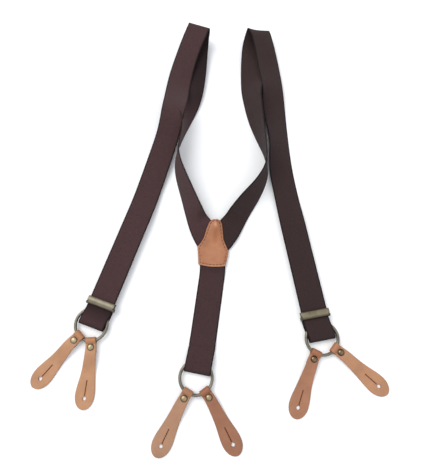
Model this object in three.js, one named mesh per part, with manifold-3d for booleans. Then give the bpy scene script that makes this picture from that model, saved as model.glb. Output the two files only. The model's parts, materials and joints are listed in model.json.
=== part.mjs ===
// Y-back suspenders lying on a flat surface: elastic webbing, leather crosspatch,
// three round rings, six leather button tabs with rivets, two slide adjusters.
// Millimetres, +Z up. The surface the suspenders lie on is z = 0.

import * as THREE from 'three';
import { mergeVertices } from 'three/addons/utils/BufferGeometryUtils.js';
import Module from 'manifold-3d';

const wasm = await Module();
wasm.setup();

// ---------------------------------------------------------------- dimensions
const WEB_W = 38;            // webbing width (1.5 in)
const WEB_T = 1.6;           // webbing thickness
const LAYER_Z = 9.2;         // mid-height of the webbing where it passes over rings and adjusters

const RING_R = 22.8;         // ring wire centre radius
const WIRE_R = 2.2;          // ring wire radius
const RING_Z = 5.9;          // height of the ring's plane

const TAB_T = 2.1;           // tab leather thickness
const TAB_BORE = 3.05;       // channel radius in the folded end of a tab
const TAB_SAG = 0.55;        // channel axis offset towards the ring centre
const TAB_LEN = 93.2;        // wire centre to tab tip
const HOLE_A = 78;           // wire centre to button hole
const HOLE_R = 3.1;          // button hole radius
const SLIT_A = 53;           // start of the slit
const SLIT_W = 0.9;          // slit width
const RIVET_A = 9.2;         // wire centre to rivet
const FLAP_A = 16.6;         // wire centre to the end of the folded flap
const CAP_R = 4.5;           // rivet cap radius
const CAP_H = 2.3;           // rivet cap height
const POST_R = 1.4;          // rivet post radius

const ADJ_HALF = 20.7;       // adjuster half width over the ears
const EAR_T = 0.8;           // ear and anvil sheet thickness
const PIN_E = -3.9;          // lever pin, along the strap from the adjuster centre
const PIN_Z = 12.0;          // lever pin height
const PIN_R = 0.75;          // lever pin radius
const BAR_E = -3.6;          // rear bar, along the strap
const BAR_Z = 2.55;          // rear bar height
const BAR_R = 0.75;          // rear bar radius

const PATCH_T = 2.2;         // leather patch thickness
const PATCH_WEB_Z = 2.9;     // mid-height of the webbing inside the patch

// Shift that puts the origin at the bottom centre of the whole object.
const ORIGIN = [2.187, -26.644];

// Adjusters: centre on the strap and strap direction (towards the shoulder).
const ADJUSTERS = {
  left: { at: [-158.88, -103.52], up: [0.34304, 0.93932] },
  right: { at: [149.57, -118.55], up: [-0.18355, 0.98301] },
};

// Rings: centre of each.
const RINGS = {
  left: [-172.62, -133.55],
  right: [158.92, -152.91],
  back: [-21.0, -206.55],
};

// Leather tabs: ring, bearing where the tab sits on its ring, bearing of its blade.
// Bearings are degrees from -Y, positive towards +X.
const TABS = {
  left_outer: { ring: 'left', seat: -46.96, blade: -40.02 },
  left_inner: { ring: 'left', seat: 3.24, blade: -5.72 },
  back_left: { ring: 'back', seat: -31.65, blade: -26.09 },
  back_right: { ring: 'back', seat: 35.99, blade: 27.4 },
  right_inner: { ring: 'right', seat: -26.09, blade: -20.02 },
  right_outer: { ring: 'right', seat: 52.91, blade: 47.99 },
};

// Half width of a tab at distances from the wire centre.
const TAB_HALF = [
  [-8, 7.2], [6, 7.35], [15, 7.9], [25, 8.4], [35, 9.1], [45, 10.1], [50, 10.8], [55, 11.6],
  [60, 12.4], [65, 13.1], [70, 13.6], [74, 13.6], [78, 13.1], [82, 12.0], [86, 10.1],
  [89, 8.0], [91, 6.0], [92.4, 3.9], [93.2, 1.7],
];

// Edge lines of the two shoulder straps, from the adjuster over the shoulder fold
// and through the half twist to the crosspatch: [left edge xyz, right edge xyz].
const STRAPS = {
  left: [
    [-176.7, -96.8, 9.2, -141, -109.9, 9.2],
    [-160.3, -51.9, 9.2, -124.6, -65, 9.2],
    [-143.8, -6.8, 9.2, -108.1, -19.9, 9.2],
    [-127.4, 38.2, 8.9, -91.7, 25.3, 8.8],
    [-122.4, 53, 7.8, -86.5, 40.7, 7.4],
    [-117.8, 68.1, 6.7, -81.7, 56.3, 6],
    [-113.3, 83.3, 5.9, -77.1, 71.9, 5.3],
    [-108.7, 98.8, 5.7, -72.4, 87.4, 5.7],
    [-103.8, 114.4, 6.4, -67.7, 102.6, 7.1],
    [-98.7, 130, 8.1, -62.8, 117.6, 9.8],
    [-93.4, 145.2, 11, -57.8, 132.2, 13.8],
    [-88.2, 159.9, 15.4, -52.7, 146.8, 19],
    [-83.6, 173.4, 21.6, -47.9, 161.2, 26],
    [-80.1, 186.2, 28.6, -43.8, 176.1, 33.6],
    [-77.4, 199.4, 32.6, -40.3, 192.2, 36.2],
    [-75.6, 213.4, 30.5, -37.9, 208.2, 31],
    [-74.4, 227.7, 24.4, -36.8, 222.9, 22.1],
    [-73.3, 243.2, 17.8, -36, 237.2, 13.3],
    [-71.5, 260.2, 12.5, -34.7, 252.1, 7.5],
    [-68.4, 278.1, 9.6, -32, 267.4, 7.1],
    [-63.6, 296.2, 9.5, -28.3, 282.3, 10.8],
    [-57.6, 313.9, 12.4, -23.7, 297, 15.5],
    [-50.9, 330.9, 17.3, -18.2, 312, 20.3],
    [-43.6, 347.3, 22.7, -11.6, 327.3, 24.7],
    [-39.9, 355.2, 25.2, -8, 335, 26.6],
    [-36.5, 362.7, 25.6, -4.2, 342.8, 27.8],
    [-38.8, 358.4, 20.6, -1.6, 350.1, 27.3],
    [-39.9, 348.9, 17.2, -2.1, 347, 22.7],
    [-40.9, 342.1, 14.4, -3, 340.6, 18.6],
    [-41.7, 335.7, 12.2, -3.8, 332.6, 15.7],
    [-42.3, 328, 10.6, -4.5, 324.1, 14],
    [-43, 319.6, 9.6, -5.2, 315.6, 12.7],
    [-44.2, 302.7, 7.2, -6.5, 298.6, 10.1],
    [-45.4, 285.7, 4.1, -7.9, 281.2, 8.1],
    [-47.2, 269.3, 3, -9.7, 264, 6.8],
    [-49.6, 253.9, 5.4, -12.2, 247.1, 5.8],
    [-51.9, 239.7, 11.8, -15.6, 230.8, 4.6],
    [-53.2, 225.7, 20.4, -20.4, 215.8, 2.7],
    [-52, 211.2, 28.9, -26.4, 202, 1],
    [-47.8, 195.9, 35.5, -32.8, 188.6, 0.9],
    [-43.4, 179.3, 38.9, -39.4, 174.9, 1.2],
    [-43.4, 161.9, 40.3, -45.6, 160.5, 2.5],
    [-46.7, 144.9, 41, -51.3, 145.3, 3.4],
    [-48.7, 128.4, 41, -55.5, 129.1, 3.7],
    [-46.3, 112.4, 40.2, -56.9, 112.2, 3.7],
    [-40.4, 96.9, 38.4, -55.3, 95.2, 3.5],
    [-33.6, 81.7, 36.2, -51.5, 78.6, 2.8],
    [-26.6, 66.5, 33.7, -47, 62.3, 2],
    [-19.5, 51.3, 31, -42.8, 46.2, 1.4],
    [-17.6, 47.6, 30.1, -41.8, 42.2, 1.3],
    [-15.8, 43.9, 29.3, -40.8, 38.2, 1.2],
    [-13.9, 40.7, 27.1, -39.8, 34.2, 1.2],
    [-11.9, 37.4, 25, -38.8, 30.2, 1.2],
    [-9.8, 34.7, 21.8, -37.7, 26.2, 1.4],
    [-7.7, 32, 18.5, -36.7, 22.2, 1.6],
    [-5.5, 29.3, 15.9, -35.5, 18.2, 1.9],
    [-3.2, 26.6, 13.3, -34.4, 14.2, 2.2],
    [-1.1, 23.6, 12.2, -33.1, 10.2, 2.5],
    [1.1, 20.7, 11.1, -31.8, 6.3, 2.9],
    [3, 17.5, 11.1, -30.3, 2.4, 3.2],
    [4.8, 14.3, 11.1, -28.7, -1.4, 3.5],
    [6.4, 11.1, 10.9, -27, -5.1, 3.5],
    [7.9, 8, 10.6, -25.2, -8.8, 3.5],
    [9.4, 5.3, 9.7, -23, -12.8, 3.4],
    [11, 2.5, 8.7, -20.8, -16.7, 3.3],
    [12.8, 0.1, 7.8, -18.1, -20.6, 3.1],
    [14.6, -2.3, 6.9, -15.4, -24.5, 2.9],
    [16.3, -4.7, 6.9, -13.7, -27, 2.9],
    [18, -7.2, 6.9, -11.9, -29.4, 2.9],
    [19.8, -9.6, 6.9, -10.2, -31.9, 2.9],
    [21.5, -12.1, 6.9, -8.4, -34.3, 2.9],
  ],
  right: [
    [130.9, -121.8, 9.2, 168.2, -114.9, 9.2],
    [122.1, -74.9, 9.2, 159.4, -67.9, 9.2],
    [113.3, -27.7, 9.2, 150.6, -20.7, 9.2],
    [104.6, 19.5, 8.9, 142, 26.3, 8.3],
    [102.1, 35.4, 8, 139.5, 41.6, 5.5],
    [99.8, 51.2, 7, 137.1, 57, 2.7],
    [97.4, 67, 6.2, 134.6, 72.6, 1.3],
    [94.9, 82.8, 5.8, 132.2, 88.2, 0.9],
    [92.7, 98.7, 6.6, 130, 103.5, 0.9],
    [91.5, 114.6, 9.8, 128.1, 118.6, 0.9],
    [91.4, 130.3, 14.5, 126.6, 133.8, 0.9],
    [91.6, 146.3, 17.9, 125.4, 149.1, 0.9],
    [90.7, 162.3, 18.2, 124.4, 164.7, 0.9],
    [88.7, 177.9, 16.2, 123.4, 180.6, 0.9],
    [86.5, 193.3, 13.6, 122.5, 196.5, 1.8],
    [84.7, 208.8, 12.5, 121.4, 212.3, 3.5],
    [83.6, 224.4, 14.7, 120.3, 228, 5.6],
    [83, 240, 18.7, 119.1, 243.6, 7.1],
    [81.9, 255.9, 19.8, 117.6, 259.5, 7.3],
    [79.9, 271.6, 17.9, 115.9, 275.9, 6.5],
    [77.6, 287, 17, 113.7, 292.7, 6.4],
    [75.2, 302, 18.5, 110.9, 309.5, 7.7],
    [72.5, 317, 21.9, 107.4, 325.9, 10],
    [69.1, 332.3, 25.1, 103.6, 341.9, 12.4],
    [67.1, 340, 26.3, 101.5, 349.8, 13.4],
    [64.2, 347.5, 25.8, 98.5, 357, 12.5],
    [61.7, 354.3, 23.4, 96, 351.5, 7.3],
    [58.8, 348.1, 19.1, 93.6, 344.2, 4.1],
    [56.5, 341.1, 15.5, 91.7, 336.5, 2.2],
    [54.4, 333.7, 12.3, 90.5, 328.5, 1.6],
    [52.9, 325.9, 10, 89.9, 320.8, 2.8],
    [52, 317.6, 8.9, 89.6, 313.5, 4.9],
    [50.8, 300.7, 6.6, 88.7, 298.5, 8.5],
    [50.3, 283.9, 4, 87.6, 282.7, 11.4],
    [50.3, 266.9, 1.8, 85.9, 266.9, 15],
    [50.8, 249.8, 0.9, 83.1, 251.8, 20.7],
    [52.9, 232.8, 0.9, 79.8, 237, 27.2],
    [56, 216.4, 0.9, 78.3, 221.1, 31.3],
    [59.6, 199.9, 1, 78.5, 204.7, 33.6],
    [64.4, 183.8, 0.9, 79.6, 188.4, 35.4],
    [70.1, 168, 0.9, 81, 172, 37],
    [76.5, 152.7, 0.9, 82.6, 155.4, 38.1],
    [83, 137.7, 0.9, 84.1, 138.6, 38.8],
    [87.8, 121.8, 1, 84.7, 122, 38.9],
    [89.8, 105.2, 1.3, 82.6, 106.2, 38.6],
    [87.6, 88.5, 1.5, 76.1, 92.1, 37.5],
    [81.9, 72.7, 1.4, 66.9, 79.2, 35.7],
    [74.6, 57.6, 1.4, 55.9, 67.6, 33],
    [66.5, 43.5, 1.3, 44.4, 55.9, 29.6],
    [62.4, 36.7, 1.1, 38.8, 49.7, 28],
    [60.4, 33.3, 1, 36.1, 46.4, 27.1],
    [58.5, 29.9, 1, 33.4, 43.2, 26.3],
    [56.6, 26.5, 1, 30.8, 40.2, 24.4],
    [54.7, 23, 1, 28.2, 37.3, 22.5],
    [53, 19.5, 1.3, 25.7, 34.7, 19.8],
    [51.2, 15.9, 1.5, 23.1, 32, 17.1],
    [49.4, 12.3, 1.9, 20.5, 29.4, 15],
    [47.6, 8.7, 2.2, 18, 26.7, 12.9],
    [45.7, 5.1, 2.6, 15.5, 23.8, 12.1],
    [43.9, 1.5, 3.1, 13.1, 20.8, 11.4],
    [41.8, -2.1, 3.3, 10.9, 17.8, 11.5],
    [39.7, -5.6, 3.5, 8.7, 14.7, 11.6],
    [37.5, -8.9, 3.5, 6.8, 11.8, 11],
    [35.2, -12.3, 3.4, 4.8, 9, 10.5],
    [32.5, -15.8, 3.3, 2.8, 6.4, 9.6],
    [29.8, -19.3, 3.1, 0.8, 3.8, 8.6],
    [26.8, -22.7, 3, -1.4, 1.5, 7.8],
    [23.7, -26.1, 2.9, -3.6, -0.8, 6.9],
    [21.7, -28.4, 2.9, -5.7, -3, 6.9],
    [19.7, -30.6, 2.9, -7.7, -5.2, 6.9],
    [17.7, -32.8, 2.9, -9.7, -7.5, 6.9],
    [15.7, -35, 2.9, -11.7, -9.7, 6.9],
  ],
};

// Centre line of the back strap, from the patch to the ring: [x, y, mid-height].
const BACK_LINE = [
  [2.9, -26, 2.9], [2.6, -38, 2.9], [2.4, -49.5, 2.9], [2.0, -57, 1.8], [1.2, -64, 0.95], [-0.2, -74, 0.8],
  [-2.7, -92, 0.8], [-5.5, -112, 0.8], [-8.3, -132, 0.8], [-10.0, -144, 0.8], [-10.8, -150, 0.85], [-11.5, -154.5, 1.6],
  [-12.2, -159.5, 2.65], [-12.8, -164.6, 2.8], [-13.4, -167.6, 3.6], [-14.2, -171.5, 5.6], [-14.6, -173.5, 6.6],
  [-15.3, -177.4, 8.4], [-15.7, -179.4, 9.15], [-16.6, -184, 9.2], [-17.8, -190.2, 9.2], [-19.06, -196.59, 9.2],
];

// Crosspatch outline.
const PATCH = [
  [-2.8, 18.3], [0.3, 21.8], [4.7, 23.0], [10.1, 22.8], [14.1, 20.9], [16.6, 16.3], [17.7, 7.8],
  [18.9, -7.0], [22.2, -15.2], [26.5, -24.9], [25.4, -31.0], [21.9, -46.7], [20.0, -47.6], [12.7, -48.5],
  [5.4, -48.9], [-4.6, -48.0], [-11.9, -46.5], [-18.1, -44.9], [-19.0, -43.2], [-19.5, -30.3],
  [-20.5, -18.0], [-14.8, -11.0], [-10.9, -4.2], [-6.9, 8.5],
];

// ---------------------------------------------------------------- materials
const mat = (color, roughness, metalness) => new THREE.MeshStandardMaterial({ color, roughness, metalness });
const WEBBING = () => mat(0x4e3c3c, 0.9, 0);
const LEATHER = () => mat(0xc79672, 0.6, 0);
const BRASS = () => mat(0x9f9581, 0.38, 1);

// ---------------------------------------------------------------- helpers
const V = (x, y, z) => new THREE.Vector3(x, y, z);

function signedVolume(pos, idx) {
  let v = 0;
  for (let i = 0; i < idx.length; i += 3) {
    const a = V(...pos[idx[i]]), b = V(...pos[idx[i + 1]]), c = V(...pos[idx[i + 2]]);
    v += a.dot(b.cross(c)) / 6;
  }
  return v;
}

function geometryFrom(pos, idx) {
  if (signedVolume(pos, idx) < 0) {
    for (let i = 0; i < idx.length; i += 3) [idx[i + 1], idx[i + 2]] = [idx[i + 2], idx[i + 1]];
  }
  const g = new THREE.BufferGeometry();
  g.setAttribute('position', new THREE.Float32BufferAttribute(pos.flat(), 3));
  g.setIndex(idx);
  return g;
}

// A strip of leather or webbing: rows of {p, q, n} with edges p and q on the
// mid-surface and unit normal n, given a thickness.
function strip(rows, thickness) {
  const pos = [], idx = [];
  for (const { p, q, n } of rows) {
    const h = n.clone().multiplyScalar(thickness / 2);
    for (const c of [p.clone().add(h), q.clone().add(h), q.clone().sub(h), p.clone().sub(h)]) pos.push(c.toArray());
  }
  for (let i = 0; i + 1 < rows.length; i++) {
    const a = 4 * i, b = a + 4;
    for (let k = 0; k < 4; k++) {
      const l = (k + 1) % 4;
      idx.push(a + k, a + l, b + l, a + k, b + l, b + k);
    }
  }
  const e = 4 * (rows.length - 1);
  idx.push(0, 2, 1, 0, 3, 2, e, e + 1, e + 2, e, e + 2, e + 3);
  return geometryFrom(pos, idx);
}

// A sheet from a grid of mid-surface points, grid[i][j], with offsets above and
// below it. The offsets run along the local normal, or straight up for `vertical`.
function sheet(grid, above, below, vertical = false) {
  const R = grid.length, C = grid[0].length, pos = [], idx = [];
  const normal = (i, j) => {
    if (vertical) return V(0, 0, 1);
    const a = grid[Math.max(0, i - 1)][j], b = grid[Math.min(R - 1, i + 1)][j];
    const c = grid[i][Math.max(0, j - 1)], d = grid[i][Math.min(C - 1, j + 1)];
    return b.clone().sub(a).cross(d.clone().sub(c)).normalize();
  };
  for (const off of [above, below]) {
    for (let i = 0; i < R; i++) {
      for (let j = 0; j < C; j++) pos.push(grid[i][j].clone().addScaledVector(normal(i, j), off).toArray());
    }
  }
  const at = (k, i, j) => k * R * C + i * C + j;
  const quad = (a, b, c, d) => idx.push(a, b, c, a, c, d);
  for (let i = 0; i + 1 < R; i++) {
    for (let j = 0; j + 1 < C; j++) {
      quad(at(0, i, j), at(0, i, j + 1), at(0, i + 1, j + 1), at(0, i + 1, j));
      quad(at(1, i, j), at(1, i + 1, j), at(1, i + 1, j + 1), at(1, i, j + 1));
    }
    quad(at(0, i, 0), at(0, i + 1, 0), at(1, i + 1, 0), at(1, i, 0));
    quad(at(0, i + 1, C - 1), at(0, i, C - 1), at(1, i, C - 1), at(1, i + 1, C - 1));
  }
  for (let j = 0; j + 1 < C; j++) {
    quad(at(0, 0, j + 1), at(0, 0, j), at(1, 0, j), at(1, 0, j + 1));
    quad(at(0, R - 1, j), at(0, R - 1, j + 1), at(1, R - 1, j + 1), at(1, R - 1, j));
  }
  return geometryFrom(pos, idx);
}

// Rows from two edge lines; the normal at a row comes from its neighbours.
function rowsFromEdges(P, Q) {
  return P.map((p, i) => {
    const a = Math.max(0, i - 1), b = Math.min(P.length - 1, i + 1);
    const t = P[b].clone().add(Q[b]).sub(P[a]).sub(Q[a]);
    const w = Q[i].clone().sub(P[i]);
    return { p: P[i], q: Q[i], n: t.cross(w).normalize() };
  });
}

// Rows along a path in a vertical plane: path points [s, z, halfWidth], with a
// plan curve that turns s into a point and a sideways direction.
function rowsFromPath(path, plan, shift = () => 0) {
  return path.map(([s, z, hw], i) => {
    const a = path[Math.max(0, i - 1)], b = path[Math.min(path.length - 1, i + 1)];
    const { at, along, side } = plan(s);
    const c = V(at[0], at[1], z).addScaledVector(side, shift(s));
    const t = along.clone().multiplyScalar(b[0] - a[0]).add(V(0, 0, b[1] - a[1])).normalize();
    return {
      p: c.clone().addScaledVector(side, -hw),
      q: c.clone().addScaledVector(side, hw),
      n: t.clone().cross(side).normalize(),
    };
  });
}

function toManifold(geometry) {
  const g = geometry.clone();
  g.deleteAttribute('normal');
  g.deleteAttribute('uv');
  const m = mergeVertices(g, 1e-4);
  return new wasm.Manifold(new wasm.Mesh({
    numProp: 3,
    vertProperties: new Float32Array(m.attributes.position.array),
    triVerts: new Uint32Array(m.index.array),
  }));
}

function fromManifold(solid) {
  const m = solid.getMesh();
  const g = new THREE.BufferGeometry();
  const p = new Float32Array((m.vertProperties.length / m.numProp) * 3);
  for (let i = 0; i < p.length / 3; i++) {
    for (let k = 0; k < 3; k++) p[3 * i + k] = m.vertProperties[i * m.numProp + k];
  }
  g.setAttribute('position', new THREE.BufferAttribute(p, 3));
  g.setIndex(Array.from(m.triVerts));
  return g;
}

const moved = (g, x, y, z) => g.clone().translate(x, y, z);
const boxAt = (x0, x1, y0, y1, z0, z1) =>
  moved(new THREE.BoxGeometry(x1 - x0, y1 - y0, z1 - z0), (x0 + x1) / 2, (y0 + y1) / 2, (z0 + z1) / 2);

function rod(radius, length, sides) {          // along X, centred
  return new THREE.CylinderGeometry(radius, radius, length, sides).rotateZ(Math.PI / 2);
}
function drill(radius, length, sides) {        // along Z, centred
  return new THREE.CylinderGeometry(radius, radius, length, sides).rotateX(Math.PI / 2);
}

const suspenders = new THREE.Group();
suspenders.position.set(ORIGIN[0], ORIGIN[1], 0);

function add(parent, name, geometry, material) {
  const mesh = new THREE.Mesh(geometry, material);
  mesh.name = name;
  parent.add(mesh);
  return mesh;
}

// ---------------------------------------------------------------- crosspatch surface
// The patch is tented at its upper end, where the straps come in half rolled:
// a ridge over the seam between them that dies out towards the back strap.
const SEAM = { x0: 3.6, y0: -48, x1: 8.2, y1: 23 };
const RIDGE_H = 9.5, RIDGE_Y0 = -27, RIDGE_Y1 = 23, RIDGE_HALF = 40;
const smoothstep = (u) => { const t = Math.min(1, Math.max(0, u)); return t * t * (3 - 2 * t); };
const seamX = (y) => SEAM.x0 + ((SEAM.x1 - SEAM.x0) * (y - SEAM.y0)) / (SEAM.y1 - SEAM.y0);
const tent = (x, y, side = 0) => {
  const d = x - seamX(y);
  const r = Math.max(0, 1 - (side === 0 ? Math.abs(d) : side * d) / RIDGE_HALF);
  return RIDGE_H * smoothstep((y - RIDGE_Y0) / (RIDGE_Y1 - RIDGE_Y0)) * r;
};
function patchDistance(x, y) {
  let inside = false, best = 1e9;
  for (let i = 0, j = PATCH.length - 1; i < PATCH.length; j = i++) {
    const [xi, yi] = PATCH[i], [xj, yj] = PATCH[j];
    if ((yi > y) !== (yj > y) && x < ((xj - xi) * (y - yi)) / (yj - yi) + xi) inside = !inside;
    const dx = xj - xi, dy = yj - yi;
    const t = Math.min(1, Math.max(0, ((x - xi) * dx + (y - yi) * dy) / (dx * dx + dy * dy)));
    best = Math.min(best, Math.hypot(x - xi - t * dx, y - yi - t * dy));
  }
  return inside ? 0 : best;
}

// ---------------------------------------------------------------- shoulder straps
const COLS = [0, 0.25, 0.5, 0.75, 1];
for (const side of ['left', 'right']) {
  const rows = STRAPS[side];
  const grid = rows.map((r, i) => COLS.map((u) => {
    const x = r[0] + (r[3] - r[0]) * u, y = r[1] + (r[4] - r[1]) * u;
    let z = r[2] + (r[5] - r[2]) * u;
    if (i > rows.length - 22) {
      const w = 1 - smoothstep((patchDistance(x, y) - 7) / 16);
      z += (PATCH_WEB_Z + tent(x, y, side === 'left' ? -1 : 1) - z) * w;
    }
    return V(x, y, z);
  }));
  const body = toManifold(sheet(grid, WEB_T / 2, -WEB_T / 2));
  // Trim along the seam between the straps, and where the back strap starts.
  const dx = SEAM.x1 - SEAM.x0, dy = SEAM.y1 - SEAM.y0;
  const half = boxAt(side === 'left' ? -0.25 : -60, side === 'left' ? 60 : 0.25, -60, 60, -10, 40)
    .rotateZ(-Math.atan2(dx, dy)).translate((SEAM.x0 + SEAM.x1) / 2, (SEAM.y0 + SEAM.y1) / 2, 0);
  const below = boxAt(-60, 60, -90, -23.6, -10, 14);
  add(suspenders, `shoulder_strap_${side}`, fromManifold(body.subtract(toManifold(half)).subtract(toManifold(below))), WEBBING());
}

// ---------------------------------------------------------------- back strap
{
  const line = BACK_LINE;
  const P = [], Q = [];
  const sideAt = (i) => {
    const a = line[Math.max(0, i - 1)], b = line[Math.min(line.length - 1, i + 1)];
    const d = V(b[0] - a[0], b[1] - a[1], 0).normalize();
    return V(-d.y, d.x, 0);
  };
  line.forEach((c, i) => {
    const s = sideAt(i);
    const m = V(...c);
    P.push(m.clone().addScaledVector(s, -WEB_W / 2));
    Q.push(m.clone().addScaledVector(s, WEB_W / 2));
  });
  // Fold round the ring and tail back under it.
  const end = V(...line[line.length - 1]);
  const d = V(-0.1908, -0.9816, 0), s = V(0.9816, -0.1908, 0);
  const tail = [
    [1.9, 8.85], [3.2, 7.6], [3.6, 5.6], [3.2, 3.6], [1.9, 2.3], [0, 2.0], [-4, 1.7], [-9, 1.2], [-14, 0.8],
    [-24, 0.8], [-35, 0.8],
  ];
  for (const [a, z] of tail) {
    const m = end.clone().addScaledVector(d, a); m.z = z;
    P.push(m.clone().addScaledVector(s, -WEB_W / 2));
    Q.push(m.clone().addScaledVector(s, WEB_W / 2));
  }
  // One sideways sense for the whole strip.
  for (let i = 0; i < P.length; i++) if (P[i].x > Q[i].x) [P[i], Q[i]] = [Q[i], P[i]];
  const t = WEB_T - 0.0;
  const top = line.length - 1;
  P.forEach((p, i) => { if (i > top + 5 && i < P.length) p.z += 0; });
  add(suspenders, 'back_strap', strip(rowsFromEdges(P, Q), t), WEBBING());
}

// ---------------------------------------------------------------- crosspatch
{
  // Rows across the outline, each split at the ridge.
  const xAt = (y, right) => {
    let best = null;
    for (let i = 0, j = PATCH.length - 1; i < PATCH.length; j = i++) {
      const [xi, yi] = PATCH[i], [xj, yj] = PATCH[j];
      if ((yi > y) === (yj > y)) continue;
      const x = xi + ((xj - xi) * (y - yi)) / (yj - yi);
      if (best === null || (right ? x > best : x < best)) best = x;
    }
    return best;
  };
  const ys = [-48.3, -47.3, -45.6, -43.3, -36, -29.5, -25.2, -20, -14.6, -9.5, -4.4, 0.6, 4.8, 9, 13.2, 17, 19.6, 21.6, 22.5];
  const grid = ys.map((y) => {
    const l = xAt(y, false), r = xAt(y, true), m = Math.min(r - 1, Math.max(l + 1, seamX(y)));
    const xs = [0, 0.25, 0.5, 0.75, 1].map((u) => l + (m - l) * u).concat([0.25, 0.5, 0.75, 1].map((u) => m + (r - m) * u));
    return xs.map((x) => V(x, y, tent(x, y)));
  });
  add(suspenders, 'crosspatch_front', sheet(grid, 6.25, 4.05, true), LEATHER());
  add(suspenders, 'crosspatch_back', sheet(grid, 1.75, 0, true), LEATHER());
}

// ---------------------------------------------------------------- rings
for (const [name, [x, y]] of Object.entries(RINGS)) {
  const ring = add(suspenders, `ring_${name}`, new THREE.TorusGeometry(RING_R, WIRE_R, 8, 40), BRASS());
  ring.position.set(x, y, RING_Z);
}

// ---------------------------------------------------------------- leather tabs
const halfAt = (a) => {
  for (let i = 1; i < TAB_HALF.length; i++) {
    const [a0, w0] = TAB_HALF[i - 1], [a1, w1] = TAB_HALF[i];
    if (a <= a1) return w0 + ((w1 - w0) * (a - a0)) / (a1 - a0);
  }
  return TAB_HALF[TAB_HALF.length - 1][1];
};

// Plan curve of a tab: radial at the ring, then easing onto the blade's bearing.
function tabPlan(ringCentre, seat, blade) {
  const D = Math.PI / 180, a0 = 3, a1 = 25, step = 0.25;
  const bearing = (a) => {
    const u = Math.min(1, Math.max(0, (a - a0) / (a1 - a0)));
    return (seat + (blade - seat) * u * u * (3 - 2 * u)) * D;
  };
  const start = [ringCentre[0] + RING_R * Math.sin(seat * D), ringCentre[1] - RING_R * Math.cos(seat * D)];
  return (s) => {
    let x = start[0], y = start[1];
    if (s <= 0) { x += s * Math.sin(seat * D); y -= s * Math.cos(seat * D); }
    else {
      const n = Math.max(1, Math.ceil(s / step)), h = s / n;
      for (let i = 0; i < n; i++) { const b = bearing((i + 0.5) * h); x += h * Math.sin(b); y -= h * Math.cos(b); }
    }
    const b = bearing(s);
    return { at: [x, y], along: V(Math.sin(b), -Math.cos(b), 0), side: V(-Math.cos(b), -Math.sin(b), 0) };
  };
}

// Side profile of the folded tab: flap end, under the wire, round it, over the
// top, down to the surface and out to the tip.
function tabPath() {
  const rm = TAB_BORE + TAB_T / 2, zc = RING_Z, ac = -TAB_SAG;
  const flap = 4.75, top = 7.05;
  const pts = [[FLAP_A, flap], [RIVET_A, flap], [5.2, flap - 0.01], [4.1, 4.45], [2.9, 3.5], [1.4, 2.45]];
  for (let k = 0; k <= 6; k++) {
    const f = -Math.PI / 2 - (Math.PI * k) / 6;
    pts.push([ac + rm * Math.cos(f), zc + rm * Math.sin(f)]);
  }
  pts.push([1.4, 9.35], [2.9, 8.3], [4.1, 7.35], [5.2, top + 0.01], [RIVET_A, top], [13, top], [FLAP_A + 0.6, 6.95],
    [21, 6.4], [26, 5.3], [31, 4.1], [36, 2.9], [41, 1.9], [46, 1.25], [51, 1.05], [56, 1.05], [60, 1.05],
    [65, 1.05], [70, 1.05], [74, 1.05], [78, 1.05], [82, 1.05], [86, 1.05], [89, 1.05], [91, 1.05], [92.4, 1.05], [93.2, 1.05]);
  return pts.map(([s, z]) => [s, z, halfAt(s)]);
}

const capTop = 7.05 + TAB_T / 2 + 0.35;      // underside of the rivet cap
const headBottom = 2.5;                       // underside of the post's head

for (const [name, tab] of Object.entries(TABS)) {
  const plan = tabPlan(RINGS[tab.ring], tab.seat, tab.blade);
  let solid = toManifold(strip(rowsFromPath(tabPath(), plan), TAB_T));
  const hole = plan(HOLE_A), rivet = plan(RIVET_A);
  const yaw = Math.atan2(hole.along.y, hole.along.x);
  solid = solid.subtract(toManifold(moved(drill(HOLE_R, 12, 20), hole.at[0], hole.at[1], 2)));
  const slit = boxAt(SLIT_A - HOLE_A, -HOLE_R + 0.6, -SLIT_W / 2, SLIT_W / 2, -4, 8).rotateZ(yaw);
  solid = solid.subtract(toManifold(moved(slit, hole.at[0], hole.at[1], 0)));
  solid = solid.subtract(toManifold(moved(drill(POST_R + 0.3, 14, 12), rivet.at[0], rivet.at[1], 6)));
  add(suspenders, `tab_${name}`, fromManifold(solid), LEATHER());

  const cap = [[0, 0], [CAP_R, 0], [CAP_R, 0.5], [CAP_R * 0.88, 1.3], [CAP_R * 0.55, 2.0], [0, CAP_H]];
  const capMesh = add(suspenders, `rivet_cap_${name}`,
    new THREE.LatheGeometry(cap.map(([r, z]) => new THREE.Vector2(r, z)), 14).rotateX(Math.PI / 2), BRASS());
  capMesh.position.set(rivet.at[0], rivet.at[1], capTop);

  const shank = capTop - 0.3 - headBottom;
  const post = [[0, 0], [3.4, 0], [3.8, 0.3], [3.8, 0.8], [POST_R, 0.8], [POST_R, shank], [0, shank]];
  const postMesh = add(suspenders, `rivet_post_${name}`,
    new THREE.LatheGeometry(post.map(([r, z]) => new THREE.Vector2(r, z)), 12).rotateX(Math.PI / 2), BRASS());
  postMesh.position.set(rivet.at[0], rivet.at[1], headBottom);
}

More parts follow.
